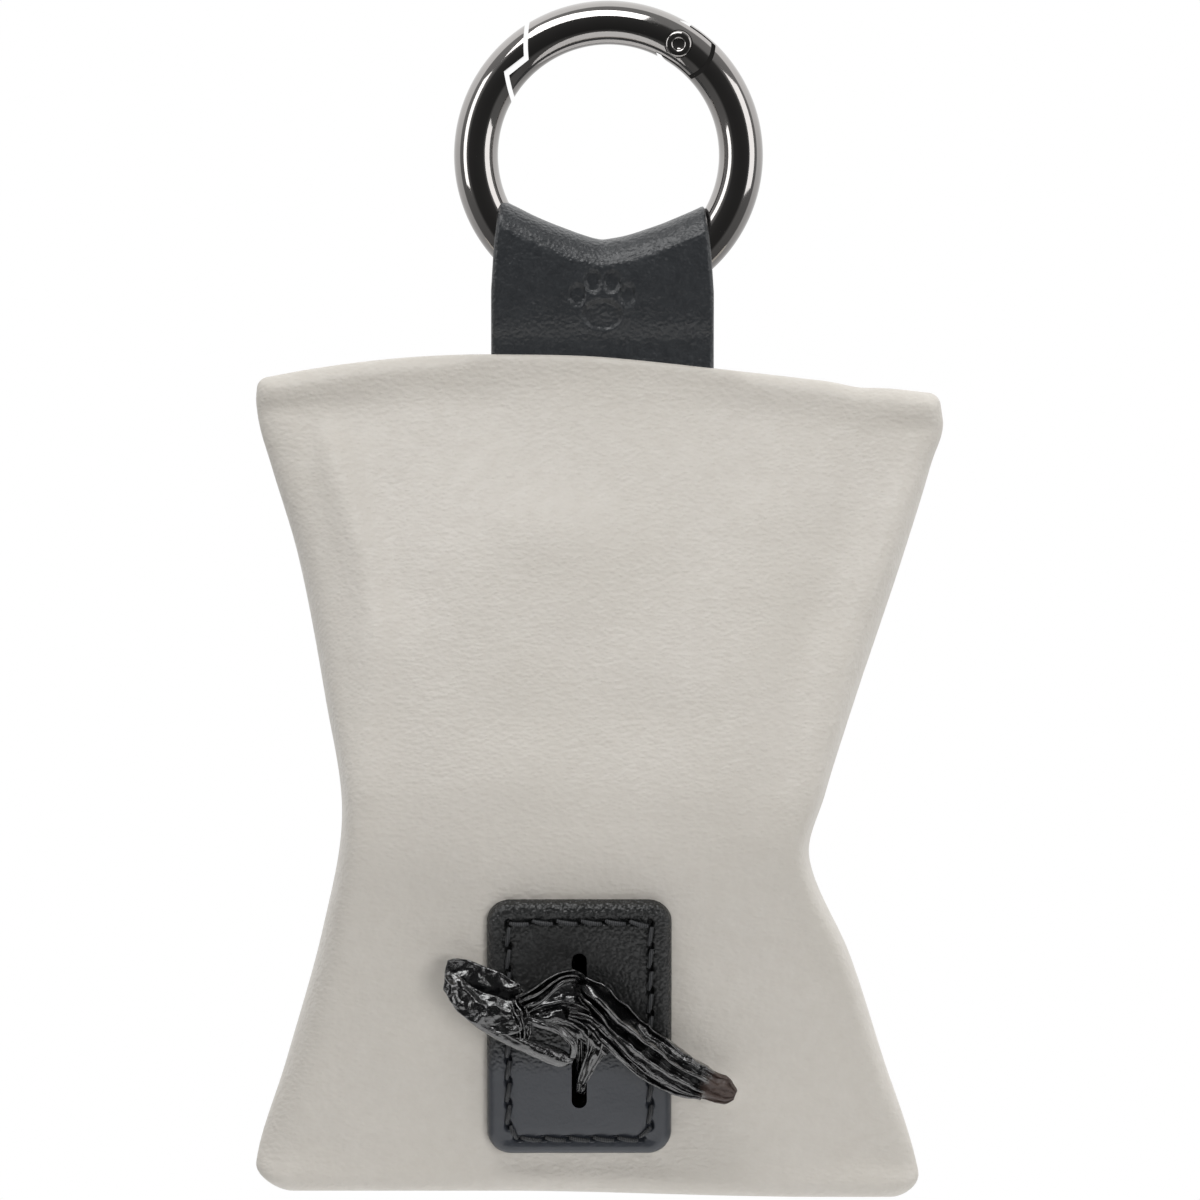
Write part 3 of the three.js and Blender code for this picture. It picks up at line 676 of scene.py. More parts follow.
def make_studio():
    bpy.context.scene.view_settings.view_transform = "Standard"
    make_camera()
    make_world()
    make_floor()
    softbox("left strip", (-0.86, -0.5, 0.17), 0.3, 0.75, 3.1, lights_matt=False)
    softbox("right strip", (0.86, -0.48, 0.14), 0.5, 0.75, 2.0, lights_matt=False)
    softbox("overhead", (-0.2, -0.66, 0.85), 0.9, 0.6, 4.7)
    softbox("front fill", (0.45, -1.1, -0.2), 0.5, 0.5, 6.3, reflected=False)
    softbox("rim", (0.8, 0.3, 0.4), 0.4, 0.4, 3.5, reflected=False)


# --- ring, gate and pin -------------------------------------------------------------------------

def wire(start, stop, degrees=1.5, sides=64):
    count = round((stop - start) / degrees) + 1
    loops = []
    for angle in np.radians(np.linspace(start, stop, count)):
        out = Vector((math.cos(angle), 0, math.sin(angle)))
        loops.append([RING + out * (RING_MEAN + u) + Vector((0, v, 0)) for u, v in circle(WIRE, sides)])
    return solid(loft(loops))


def about_pin(radius, start, stop, count):
    return arc((PIN.x, PIN.z), radius, start, stop, count)


def pin_disc(radius, y0, y1):
    return solid(prism(about_pin(radius, 0, 360, 65)[:-1], y0, y1))


def nose_side(gap, lead, right):
    """The gate's side of the nose joint: its outer end, a slanting step, and the longer inner lip."""
    step_start, step_end, lip_end = 186 - lead, 190.5 - lead, 215
    outline = about_pin(NOSE + gap, 150, step_start, 24)
    outline += about_pin(LIP + gap, step_end, lip_end, 18)
    outline += [(right, outline[-1][1]), (right, RING.z + RING_MEAN + 10)]
    return solid(prism(outline, -PAST_WIRE, PAST_WIRE))


def beside_pin(radius, towards_gate, half):
    """Everything on one side of the pin outside a round of that radius about it."""
    side = -1 if towards_gate else 1
    local = [(0, -8 * side), (14 * side, -8 * side), (14 * side, 8 * side), (0, 8 * side)]
    bite = arc((0, 0), radius, 90 * side, -90 * side, 40) if side > 0 else arc((0, 0), radius, 270, 90, 40)
    turn = math.radians(PIN_ANGLE - 90)
    c, s = math.cos(turn), math.sin(turn)
    outline = [(PIN.x + x * c - z * s, PIN.z + x * s + z * c) for x, z in local + bite]
    return solid(prism(outline, -half, half))


def bore_direction():
    angle = math.radians(BORE_ANGLE)
    return Vector((math.cos(angle), 0, math.sin(angle)))


def on_bore(shape):
    """Lays a shape made along Y on the plunger's bore, which starts at the pin."""
    along, side = bore_direction(), Vector((0, 1, 0))
    turn = Matrix((side.cross(along), along, side)).transposed().to_4x4()
    points, faces = shape
    place = Matrix.Translation(PIN) @ turn
    return [place @ Vector(p) for p in points], faces


def box_shape(x0, x1, y0, y1, z0, z1):
    return prism([(x0, z0), (x1, z0), (x1, z1), (x0, z1)], y0, y1)


def make_ring(metal):
    body = wire(117, 360 + PIN_ANGLE + 13)
    half_tongue, tongue_length = 0.95, 2.3
    boolean(
        body,
        "DIFFERENCE",
        nose_side(0.5, 1.5, -2),
        pin_disc(SHOULDER, half_tongue, PAST_WIRE),
        pin_disc(SHOULDER, -PAST_WIRE, -half_tongue),
        beside_pin(tongue_length, True, PAST_WIRE),
        solid(on_bore(box_shape(-PAST_WIRE, PAST_WIRE, 1.5, 5, -PAST_WIRE, PAST_WIRE))),
        pin_disc(PIN_HOLE, -PAST_WIRE, PAST_WIRE),
    )
    finish(body, "ring", metal, "ring", "ring_body", "black_nickel", 30)


def make_gate(metal):
    gate = wire(35, 158)
    slot, round_slot, sink, sink_floor, bore, bore_depth = 1.25, 1.27, 1.62, 1.88, 1.05, 7.7
    boolean(gate, "INTERSECT", nose_side(0, 0, PIN.x + 8))
    boolean(
        gate,
        "DIFFERENCE",
        beside_pin(CHEEK, False, PAST_WIRE),
        beside_pin(0.01, False, slot),
        pin_disc(2.7, -round_slot, round_slot),
        pin_disc(PIN_HOLE + 0.02, -PAST_WIRE, PAST_WIRE),
        pin_disc(sink, sink_floor, PAST_WIRE),
        pin_disc(sink, -PAST_WIRE, -sink_floor),
        solid(on_bore(lathe([(0, 0), (bore, 0), (bore, bore_depth), (0, bore_depth)]))),
    )
    finish(gate, "gate", metal, "gate", "ring_gate", "black_nickel", 30)


def make_pin(metal):
    """A rivet with two domed heads, each with a punched dimple."""
    half = [(0.9, 0), (0.9, 2.0), (1.44, 2.0), (1.5, 2.08), (1.5, 2.34), (1.44, 2.47), (1.3, 2.55)]
    half += [(1.05, 2.6), (0.82, 2.58), (0.66, 2.48), (0.58, 2.3), (0.3, 2.2), (0, 2.18)]
    profile = [(r, -y) for r, y in reversed(half)] + half[1:]
    points, faces = lathe(profile, 64)
    pin = solid(([Vector(p) + Vector((PIN.x, 0, PIN.z)) for p in points], faces))
    finish(pin, "rivet", metal, "ring", "gate_pin", "black_nickel")


def make_plunger(metal):
    start, length, radius = 1.65, 2.5, 0.85
    nose = arc((0, start + radius), radius, -90, 0, 12)
    plunger = solid(on_bore(lathe([*nose, (radius, start + length), (0, start + length)])))
    finish(plunger, "plunger", metal, "plunger", "spring_plunger", "zip_metal")

    turns, wire_radius, coil_radius = 5, 0.15, 0.68
    low, high = start + length + 0.45, start + length + 2.95
    path = []
    for t in np.linspace(0, 1, turns * 24 + 1):
        angle = 2 * math.pi * turns * t
        rise = low + (high - low) * t
        path.append((coil_radius * math.cos(angle), rise, coil_radius * math.sin(angle)))
    spring = solid(on_bore(tube(path, wire_radius)))
    spring = add_piece(spring, "spring", metal, 60)
    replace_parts(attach(spring, "gate"), "gate_spring")
    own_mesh(spring)


# --- strap --------------------------------------------------------------------------------------

def strap_path(count):
    """The middle of the strap in Y and Z, from its front end in the seam, over the wire, and back."""
    radius = WIRE + 0.3 + STRAP / 2
    front = [(-0.62, -40.8), (-0.62, -38), (-0.64, -35.6), (-1.05, -33.4)]
    front += [(-1.9, TAB_BOTTOM_Z), (-2.95, -28.6)]
    fold = [(y, z) for y, z in arc((0, FOLD_Z), radius, 172, 90, 8)]
    half = front + fold
    points = half + [(-y, z) for y, z in reversed(half[:-1])]
    return smooth_curve(points, count)


def paw_depth(x, z):
    """Depth of a small plain paw print pressed into the strap."""
    middle_x, middle_z = TAB.x, -29.2
    pads = [(0, -1.5, 2.2, 1.65), (-2.85, 0.75, 0.9, 1.25), (-1.05, 2.25, 0.95, 1.3),
            (1.05, 2.25, 0.95, 1.3), (2.85, 0.75, 0.9, 1.25)]
    deepest = 0.0
    for px, pz, wide, tall in pads:
        away = math.hypot((x - middle_x - px) / wide, (z - middle_z - pz) / tall)
        deepest = max(deepest, 1 - smoothstep(away, 0.85, 1.1))
    return 0.42 * deepest


def make_strap(leather):
    rows, half_columns = 300, 110
    path = strap_path(rows)
    across = np.linspace(-1, 1, half_columns)
    edge = 0.42
    loops = []
    for i, (y, z) in enumerate(path):
        before, after = path[max(i - 1, 0)], path[min(i + 1, rows - 1)]
        tangent = Vector((0, *(after - before))).normalized()
        out = Vector((0, -tangent.z, tangent.y))
        share = smoothstep(z, TAB_BOTTOM_Z, FOLD_Z)
        narrow = 0.085 * clamp((z + 29.5) / 7)
        loop = []
        for face in (1, -1):
            for u in across * face:
                x = u * TAB_WIDTH / 2 * (1 - narrow)
                margin = (1 - abs(u)) * TAB_WIDTH / 2
                thin = 1 - 0.75 * (1 - smoothstep(margin, 0, edge)) ** 2
                height = face * STRAP / 2 * thin
                rise = (FOLD_RISE * abs(u) ** 1.4 + 0.35 - 0.4 * u) * share
                point = Vector((x + TAB.x, y, z + rise)) + out * height
                if face > 0:
                    if y < 0:
                        point -= out * paw_depth(point.x, point.z)
                    point += out * 0.07 * rumple(point, 3.2, 3)
                loop.append(point)
        loops.append(loop)
    strap = solid(loft(loops))
    strap = add_piece(strap, "strap", leather, 50)
    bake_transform(strap)
    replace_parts(strap, "hanger_tab", "hanger_tab_root")


# --- pouch --------------------------------------------------------------------------------------

def edge_curve(points):
    """A smooth curve x(z) through (z, x) pairs, in order of rising z."""
    heights, widths = np.array(points, float).T
    slopes = np.gradient(widths, heights)
    slopes[1:-1] = (widths[2:] - widths[:-2]) / (heights[2:] - heights[:-2])

    def at(z):
        i = int(np.clip(np.searchsorted(heights, z, side="right") - 1, 0, len(heights) - 2))
        span = heights[i + 1] - heights[i]
        t = clamp((z - heights[i]) / span)
        return ((2 * t ** 3 - 3 * t ** 2 + 1) * widths[i] + (t ** 3 - 2 * t ** 2 + t) * span * slopes[i]
                + (3 * t ** 2 - 2 * t ** 3) * widths[i + 1] + (t ** 3 - t ** 2) * span * slopes[i + 1])
    return at


left_edge = edge_curve(LEFT_EDGE)
right_edge = edge_curve(RIGHT_EDGE)


def top_drop(x):
    """How far the top edge lies below the tab's height."""
    slope = 0.0575 * (x + 2 + math.hypot(x + 2, 5))
    return slope + 0.3 * hump(x, 28.3, 2.2) + (0.004 * (x + 13) ** 2 if x < -13 else 0.0)


def bottom_drop(x):
    return 0.7 * smoothstep(x, -12, 24)


def lower_half(z):
    """Half the distance between the lower panels, as if they ran on above the waist."""
    return FOOT_HALF + LOWER_SLOPE * (z - LOWER_FOOT_Z)


def panel_half(z):
    """Half the distance between the front and back panels, away from the seams."""
    upper, lower = FOOT_HALF + UPPER_SLOPE * (UPPER_FOOT_Z - z), lower_half(z)
    turn = UPPER_SLOPE + LOWER_SLOPE
    excess = (lower - upper) / turn
    if abs(excess) >= RIDGE_HALF:
        return min(upper, lower)
    return min(upper, lower) - turn * (RIDGE_HALF - abs(excess)) ** 2 / (4 * RIDGE_HALF)


def corner_cut(from_end, radius):
    """How far a round corner stands back from the side, at a distance from the end."""
    short = max(radius - from_end, 0)
    return radius - math.sqrt(max(radius ** 2 - short ** 2, 0))


def end_half(z, from_end, square=0.0):
    """Half the pouch's depth, with the round of the seam at its end.

    square, from 0 to 1, flattens the round."""
    deep = smooth_max(SEAM_ROUND, min(panel_half(z), 10), 4)
    deep = max(deep, panel_half(z))
    if from_end >= SEAM_ROUND:
        return deep
    power = 2 + 4 * square
    return deep * max(1 - (1 - from_end / SEAM_ROUND) ** power, 0) ** (1 / power)


def skin_levels(rows, inset):
    """Heights of the rows, close together in the rounds of the seams."""
    low, high = POUCH_BOTTOM_Z, POUCH_TOP_Z
    if inset:
        return np.linspace(low + SEAM_DEPTH, high - SEAM_DEPTH, rows)
    turn = np.linspace(0, math.pi / 2, 9)[:-1]
    rounds = SEAM_ROUND * (1 - np.cos(turn))
    middle = np.linspace(low + SEAM_ROUND, high - SEAM_ROUND, rows - 16)
    return np.concatenate([low + rounds, middle, (high - rounds)[::-1]])


def side_bulge(z, right):
    """Round of the corner between a panel and the side, which differs along the pouch's height."""
    if right:
        return RIGHT_CORNER + 1.6 * hump(z, -72, 10) + 0.8 * hump(z, -97, 6)
    return LEFT_CORNER + 1.8 * hump(z, -58, 12) - 1.8 * hump(z, -84, 7)


# Half the width and height of the flat areas under the patch and the zip
PATCH_FLAT = (10, 14)
ZIP_FLAT = (27, 7)
# The folds down the front panel, as (z, x)
LEFT_RIDGE = [
    (-40, -33), (-48, -30.8), (-57.5, -27.6), (-65, -26.2), (-72, -26.4), (-80, -27.2), (-92, -28.6),
]
RIGHT_RIDGE = [(-44, 35.2), (-51.6, 33.2), (-60, 30.2), (-68.6, 27.2), (-80, 24.4), (-91, 22.2)]


def ridge(x, z, line, width):
    """How near a point is to a fold that runs down the panel, from 0 to 1."""
    heights, places = zip(*line[::-1])
    low, high = heights[0], heights[-1]
    fade = smoothstep(z, low, low + 8) * (1 - smoothstep(z, high - 6, high))
    return fade * hump(x, np.interp(z, heights, places), width)


def nearness(x, z, half_width, half_height):
    """1 on a rectangle about the origin, down to 0 at 5 mm from it."""
    return 1 - smoothstep(beyond(x, z, half_width, half_height), 0, 5)


def leather_relief(x, z, front):
    """How far the leather stands out from the plain form: puffed seams, ears, soft dents and slack."""
    top = POUCH_TOP_Z - top_drop(x) - z
    bottom = z - POUCH_BOTTOM_Z + bottom_drop(x)
    ear = hump(x, 36, 6) + hump(x, -36, 9)
    relief = (0.02 + 0.3 * ear) * hump(top, 2.4, 1.7)
    relief -= (0.02 + 0.5 * ear) * hump(top, 7.2, 2.8)
    relief += 0.1 * hump(bottom, 2.2, 1.6)
    slack = 0.75 * rumple((x, 0, z), 21, 2 if front else 9) + 0.34 * rumple((x, 0, z * 1.3), 9, 5)
    if front:
        slack += 0.95 * ridge(x, z, LEFT_RIDGE, 2.3) + 0.5 * ridge(x, z, RIGHT_RIDGE, 2.4)
        slack -= 0.6 * ridge(x + 4.6, z, LEFT_RIDGE, 2.6)
        slack += 0.8 * hump(x, -7.5, 8) * hump(z, -55, 4.5)
        slack += 1.5 * math.sin(math.pi * clamp((UPPER_FOOT_Z - z) / UPPER_LENGTH))
        middle = (left_edge(z) + right_edge(z)) / 2
        slack -= 1.9 * abs((x - middle) / (right_edge(z) - middle)) ** 3
        slack -= 0.6 * ridge(x + 5, z, RIGHT_RIDGE, 3.2)
        flat = nearness(x - PATCH_X, z - PATCH_Z, *PATCH_FLAT)
    else:
        flat = nearness(x - ZIP_X, z - ZIP_Z, *ZIP_FLAT)
    ends = smoothstep(min(top, bottom), 1.0, 6.0)
    return smooth_max((relief + slack * ends) * (1 - flat), DEEPEST_DENT, 6)


def pouch_skin(columns, rows, side_columns, inset):
    """The pouch's closed skin: a loop of points at each height, from seam to seam."""
    front = [(u, -1.0) for u in np.linspace(-1, 1, columns)]
    side = [(1.0, d) for d in np.linspace(-1, 1, side_columns)[1:-1]]
    ring = front + side + [(-u, -d) for u, d in front] + [(-u, -d) for u, d in side]
    loops = []
    for level in skin_levels(rows, inset):
        height = (level - POUCH_BOTTOM_Z) / (POUCH_TOP_Z - POUCH_BOTTOM_Z)
        deep = panel_half(level)
        near_top = smoothstep(height, 0.86, 1)
        near_bottom = 1 - smoothstep(height, 0, 0.14)
        from_top, from_bottom = POUCH_TOP_Z - level, level - POUCH_BOTTOM_Z
        cut_left = max(corner_cut(from_bottom, 3.2), corner_cut(from_top, 0.9))
        cut_right = max(corner_cut(from_bottom, 2.8), corner_cut(from_top, 1.3))
        boxy = 1 - 0.5 * clamp((deep - 4) / 10)
        round_left, round_right = (
            min(side_bulge(level, right), deep + 1) * (0.8 if inset else 1) for right in (False, True)
        )
        left = left_edge(level) + inset + cut_left + round_left
        right = right_edge(level) - inset - cut_right - round_right
        loop = []
        for across, depth in ring:
            x = left + (right - left) * (across + 1) / 2
            share = depth
            if abs(across) > 0.999:
                swing = abs(depth) * math.pi / 2
                bulge = round_right if across > 0 else round_left
                x += math.copysign(bulge * max(math.cos(swing), 0) ** boxy, across)
                share = math.copysign(math.sin(swing) ** boxy, depth)
            z = level - top_drop(x) * near_top - bottom_drop(x) * near_bottom
            if inset:
                half = max(SEAM_HALF, panel_half(z)) - inset * 1.05
            else:
                from_end = min(from_top, from_bottom)
                beside_tab = 1 - smoothstep(abs(x - TAB.x), TAB_WIDTH / 2, TAB_WIDTH / 2 + 5)
                half = end_half(z, from_end, beside_tab if from_top < from_bottom else 0.0)
                half += leather_relief(x, z, depth < 0) * smoothstep(from_end, 0, 1.5)
            loop.append((x, share * half, z))
        loops.append(loop)
    return loft(loops)


def slit_outline(half):
    return arc((0, SLIT_TOP_Z), half, 0, 180, 16) + arc((0, SLIT_BOTTOM_Z), half, 180, 360, 16)


def slit_cutter(half, front):
    """A cutter for the slit, from y = front back to y = 0."""
    return moved(solid(prism(slit_outline(half), front, 0)), Matrix.Translation((PATCH_X, 0, 0)))


def back_panel():
    return panel_frame(ZIP_X, panel_half(ZIP_Z), ZIP_Z, UPPER_SLOPE)


def front_panel():
    return panel_frame(PATCH_X, -panel_half(PATCH_Z), PATCH_Z, LOWER_SLOPE)


def make_pouch(leather):
    outer = solid(pouch_skin(190, 200, 22, 0))
    inner = solid(pouch_skin(60, 70, 12, WALL))
    window = prism(rounded_rectangle(WINDOW_LENGTH, 2 * WINDOW_HALF, 1.5), -4, 4)
    window = moved(solid(window), back_panel())
    slit = slit_cutter(SLIT_HALF + 0.4, -20)
    reach = TAB_WIDTH / 2 + 0.1
    deep = STRAP + 0.12
    pocket = solid(box_shape(TAB.x - reach, TAB.x + reach, -deep, deep, -41.5, POUCH_TOP_Z + 2))
    boolean(outer, "DIFFERENCE", inner, window, slit, pocket)
    finish(outer, "pouch", leather, "pouch", "pouch_shell", "pouch_leather", 60)


# --- patch --------------------------------------------------------------------------------------

STITCH_WIDTH = 16.0
STITCH_LENGTH = 26.6
STITCH_PITCH = 2.77


def stitch_holes(width, length, corner, pitch):
    """Evenly spaced points round a rounded rectangle, as (x, z)."""
    outline = np.array(rounded_rectangle(width, length, corner, 12))
    outline = np.vstack([outline, outline[:1]])
    steps = np.hypot(*np.diff(outline, axis=0).T)
    travelled = np.concatenate([[0], np.cumsum(steps)])
    count = round(travelled[-1] / pitch)
    at = np.linspace(0, travelled[-1], count, endpoint=False)
    return [(np.interp(s, travelled, outline[:, 0]), np.interp(s, travelled, outline[:, 1])) for s in at]


def stitch_run(holes, face, outwards, radius, slant, rise):
    """Stitches from hole to hole on a face at y = face. outwards is +1 or -1 along Y."""
    body = Body()
    for k, (ax, az) in enumerate(holes):
        bx, bz = holes[(k + 1) % len(holes)]
        direction = Vector((bx - ax, 0, bz - az))
        across = direction.cross(Vector((0, 1, 0))).normalized()
        path, radii = [], []
        for t in np.linspace(0.1, 0.9, 11):
            point = Vector((ax, 0, az)) + direction * t + across * slant * (1 - 2 * t)
            lift = rise * math.sin(math.pi * t) ** 0.6 - 0.55 * (1 - math.sin(math.pi * t) ** 0.35)
            path.append(point + Vector((0, face + outwards * lift, 0)))
            radii.append(radius * (0.72 + 0.28 * math.sin(math.pi * t)))
        body.add(*tube(path, radii, 8))
    return body


def hole_dents(x, z, holes):
    """From 0 to 1, how deep a point lies in a needle hole. The thread has pulled the holes long."""
    depth = 0.0
    for hx, hz in holes:
        upright = abs(abs(hx) - STITCH_WIDTH / 2) < 0.2
        long, wide = (z - hz, x - hx) if upright else (x - hx, z - hz)
        away = math.hypot(long / 0.85, wide / 0.5)
        depth = max(depth, 1 - smoothstep(away, 0.3, 1))
    return depth


def square_to_round(a, b, width, length, corner):
    """Maps a square of side 2 onto a rounded rectangle, bending only the lines near its rim."""
    rim = max(abs(a), abs(b))
    x, z = a * width / 2, b * length / 2
    if rim < 1e-6:
        return x, z
    ex, ez = abs(x) / rim, abs(z) / rim
    cx, cz = width / 2 - corner, length / 2 - corner
    if ex <= cx or ez <= cz:
        return x, z
    low, high = 0.5, 1.0
    for _ in range(24):
        middle = (low + high) / 2
        outside = beyond(ex * middle, ez * middle, cx, cz) > corner
        low, high = (low, middle) if outside else (middle, high)
    pull = 1 - (1 - low) * rim ** 5
    return x * pull, z * pull


def crowd(t):
    """Moves evenly spread values from -1 to 1 closer together near both ends."""
    return math.sin(t * math.pi / 2) * 0.35 + t * 0.65


def make_patch(leather, thread):
    columns, rows = 150, 220
    edge = 1.15
    holes = stitch_holes(STITCH_WIDTH, STITCH_LENGTH, 0.3, STITCH_PITCH)
    top = []
    for b in np.linspace(-1, 1, rows):
        for a in np.linspace(-1, 1, columns):
            x, z = square_to_round(crowd(a), crowd(b), PATCH_WIDTH, PATCH_LENGTH, PATCH_CORNER)
            half_width, half_length = PATCH_WIDTH / 2, PATCH_LENGTH / 2
            outside = beyond(x, z, half_width - PATCH_CORNER, half_length - PATCH_CORNER)
            margin = min(half_width - abs(x), half_length - abs(z))
            if outside > 0:
                margin = PATCH_CORNER - outside
            short = max(edge - max(margin, 0), 0)
            height = PATCH_HEIGHT - (edge - math.sqrt(edge ** 2 - short ** 2))
            seam = beyond(x, z, STITCH_WIDTH / 2, STITCH_LENGTH / 2)
            inside = min(STITCH_WIDTH / 2 - abs(x), STITCH_LENGTH / 2 - abs(z))
            track = abs(inside) if inside > 0 else seam
            height -= 0.16 * hump(track, 0, 0.75)
            height -= 0.7 * hole_dents(x, z, holes)
            height += 0.05 * rumple((x, 0, z), 4, 4)
            top.append((x, -height, z))
    bottom = [(x, 0.05, z) for x, _, z in top]
    faces = grid_faces(rows, columns)
    size = rows * columns
    faces += [tuple(size + i for i in face) for face in faces]
    rim = [j for j in range(columns)] + [i * columns + columns - 1 for i in range(1, rows)]
    rim += [(rows - 1) * columns + j for j in range(columns - 2, -1, -1)]
    rim += [i * columns for i in range(rows - 2, 0, -1)]
    faces += [(a, b, b + size, a + size) for a, b in zip(rim, rim[1:] + rim[:1])]
    plate = moved(solid((top + bottom, faces)), front_panel())
    boolean(plate, "DIFFERENCE", slit_cutter(SLIT_HALF, -25))
    finish(plate, "patch", leather, "pouch", "slot_patch", "black_leather", 50)

    run = stitch_run(holes, -PATCH_HEIGHT, -1, 0.27, 0.22, 0.14)
    stitches = moved(run.object(), front_panel())
    finish(stitches, "patch_thread", thread, "pouch", "patch_stitching", "thread", 60)


# --- bag tuft -----------------------------------------------------------------------------------

FILM = 0.12


def in_front(x, z, out):
    """A point seen at x and z, that far in front of the lower front panel along -Y."""
    return Vector((x, -lower_half(z) - out, z))


def film_strip(body, stations, pleats, seed, crumple, count=84, columns=56):
    """A strip of gathered film. pleats is the number of folds across it.

    Each station is x, z, out, the half width, the depth of the folds there, and how far the strip
    curls over its long edges."""
    line = smooth_curve(stations, count)
    rows = []
    for i, (x, z, out, wide, deep, curl) in enumerate(line):
        ahead, behind = line[min(i + 1, count - 1)], line[max(i - 1, 0)]
        tangent = Vector((ahead[0] - behind[0], 0, ahead[1] - behind[1]))
        tangent = tangent.normalized() if tangent.length > 1e-6 else Vector((1, 0, 0))
        across = tangent.cross(Vector((0, 1, 0)))
        row = []
        for v in np.linspace(-1, 1, columns):
            phase = v * pleats + 0.55 * rumple((v * 2, i / count * 3.2, 0), 1, seed)
            fold = math.sin(2 * math.pi * phase)
            fold = math.copysign(abs(fold) ** 0.75, fold)
            side = math.sin(v * max(curl, 1e-3)) / max(curl, 1e-3)
            back = (1 - math.cos(v * curl)) / max(curl, 1e-3)
            point = in_front(x, z, out + deep * fold - back * wide) + across * wide * side
            row.append(crumpled(point, crumple, seed))
        rows.append(row)
    add_film(body, rows)


def crumpled(point, amount, seed):
    """Moves a point by sharp-edged noise, as in film that has been crushed and let go."""
    ridges = 0.6 - 2 * abs(rumple(point, 2.4, seed)) + 0.6 * rumple(point, 1.1, seed + 2)
    fine = 0.3 * rumple(point, 0.5, seed + 4)
    return point + Vector((0.35 * amount * ridges, -amount * (ridges + fine), 0.35 * amount * ridges))


def film_trough(body, stations, seed, crumple, count=64, columns=64):
    """A strip folded along its length. Each station is its front lip, bottom and back lip."""
    line = smooth_curve([[*front, *bottom, *back] for front, bottom, back in stations], count)
    rows = []
    for values in line:
        front, bottom, back = (Vector(values[k:k + 3]) for k in (0, 3, 6))
        row = []
        for v in np.linspace(-1, 1, columns):
            lip = front if v < 0 else back
            reach = abs(v)
            swell = 0.1 * (lip - bottom).length * math.sin(math.pi * reach) * (1 if v < 0 else -1)
            x, z, out = bottom + (lip - bottom) * reach ** 1.15
            row.append(crumpled(in_front(x, z, out + swell), crumple, seed))
        rows.append(row)
    add_film(body, rows)


def add_film(body, rows):
    """Gives a grid of points the film's thickness and closes its rim."""
    grid = np.array([[tuple(p) for p in row] for row in rows])
    along = np.gradient(grid, axis=0)
    across = np.gradient(grid, axis=1)
    normal = np.cross(along, across)
    normal /= np.maximum(np.linalg.norm(normal, axis=2, keepdims=True), 1e-9)
    front, back = grid + normal * FILM / 2, grid - normal * FILM / 2
    loops = [list(map(tuple, front[i])) + list(map(tuple, back[i][::-1])) for i in range(len(rows))]
    body.add(*loft(loops))


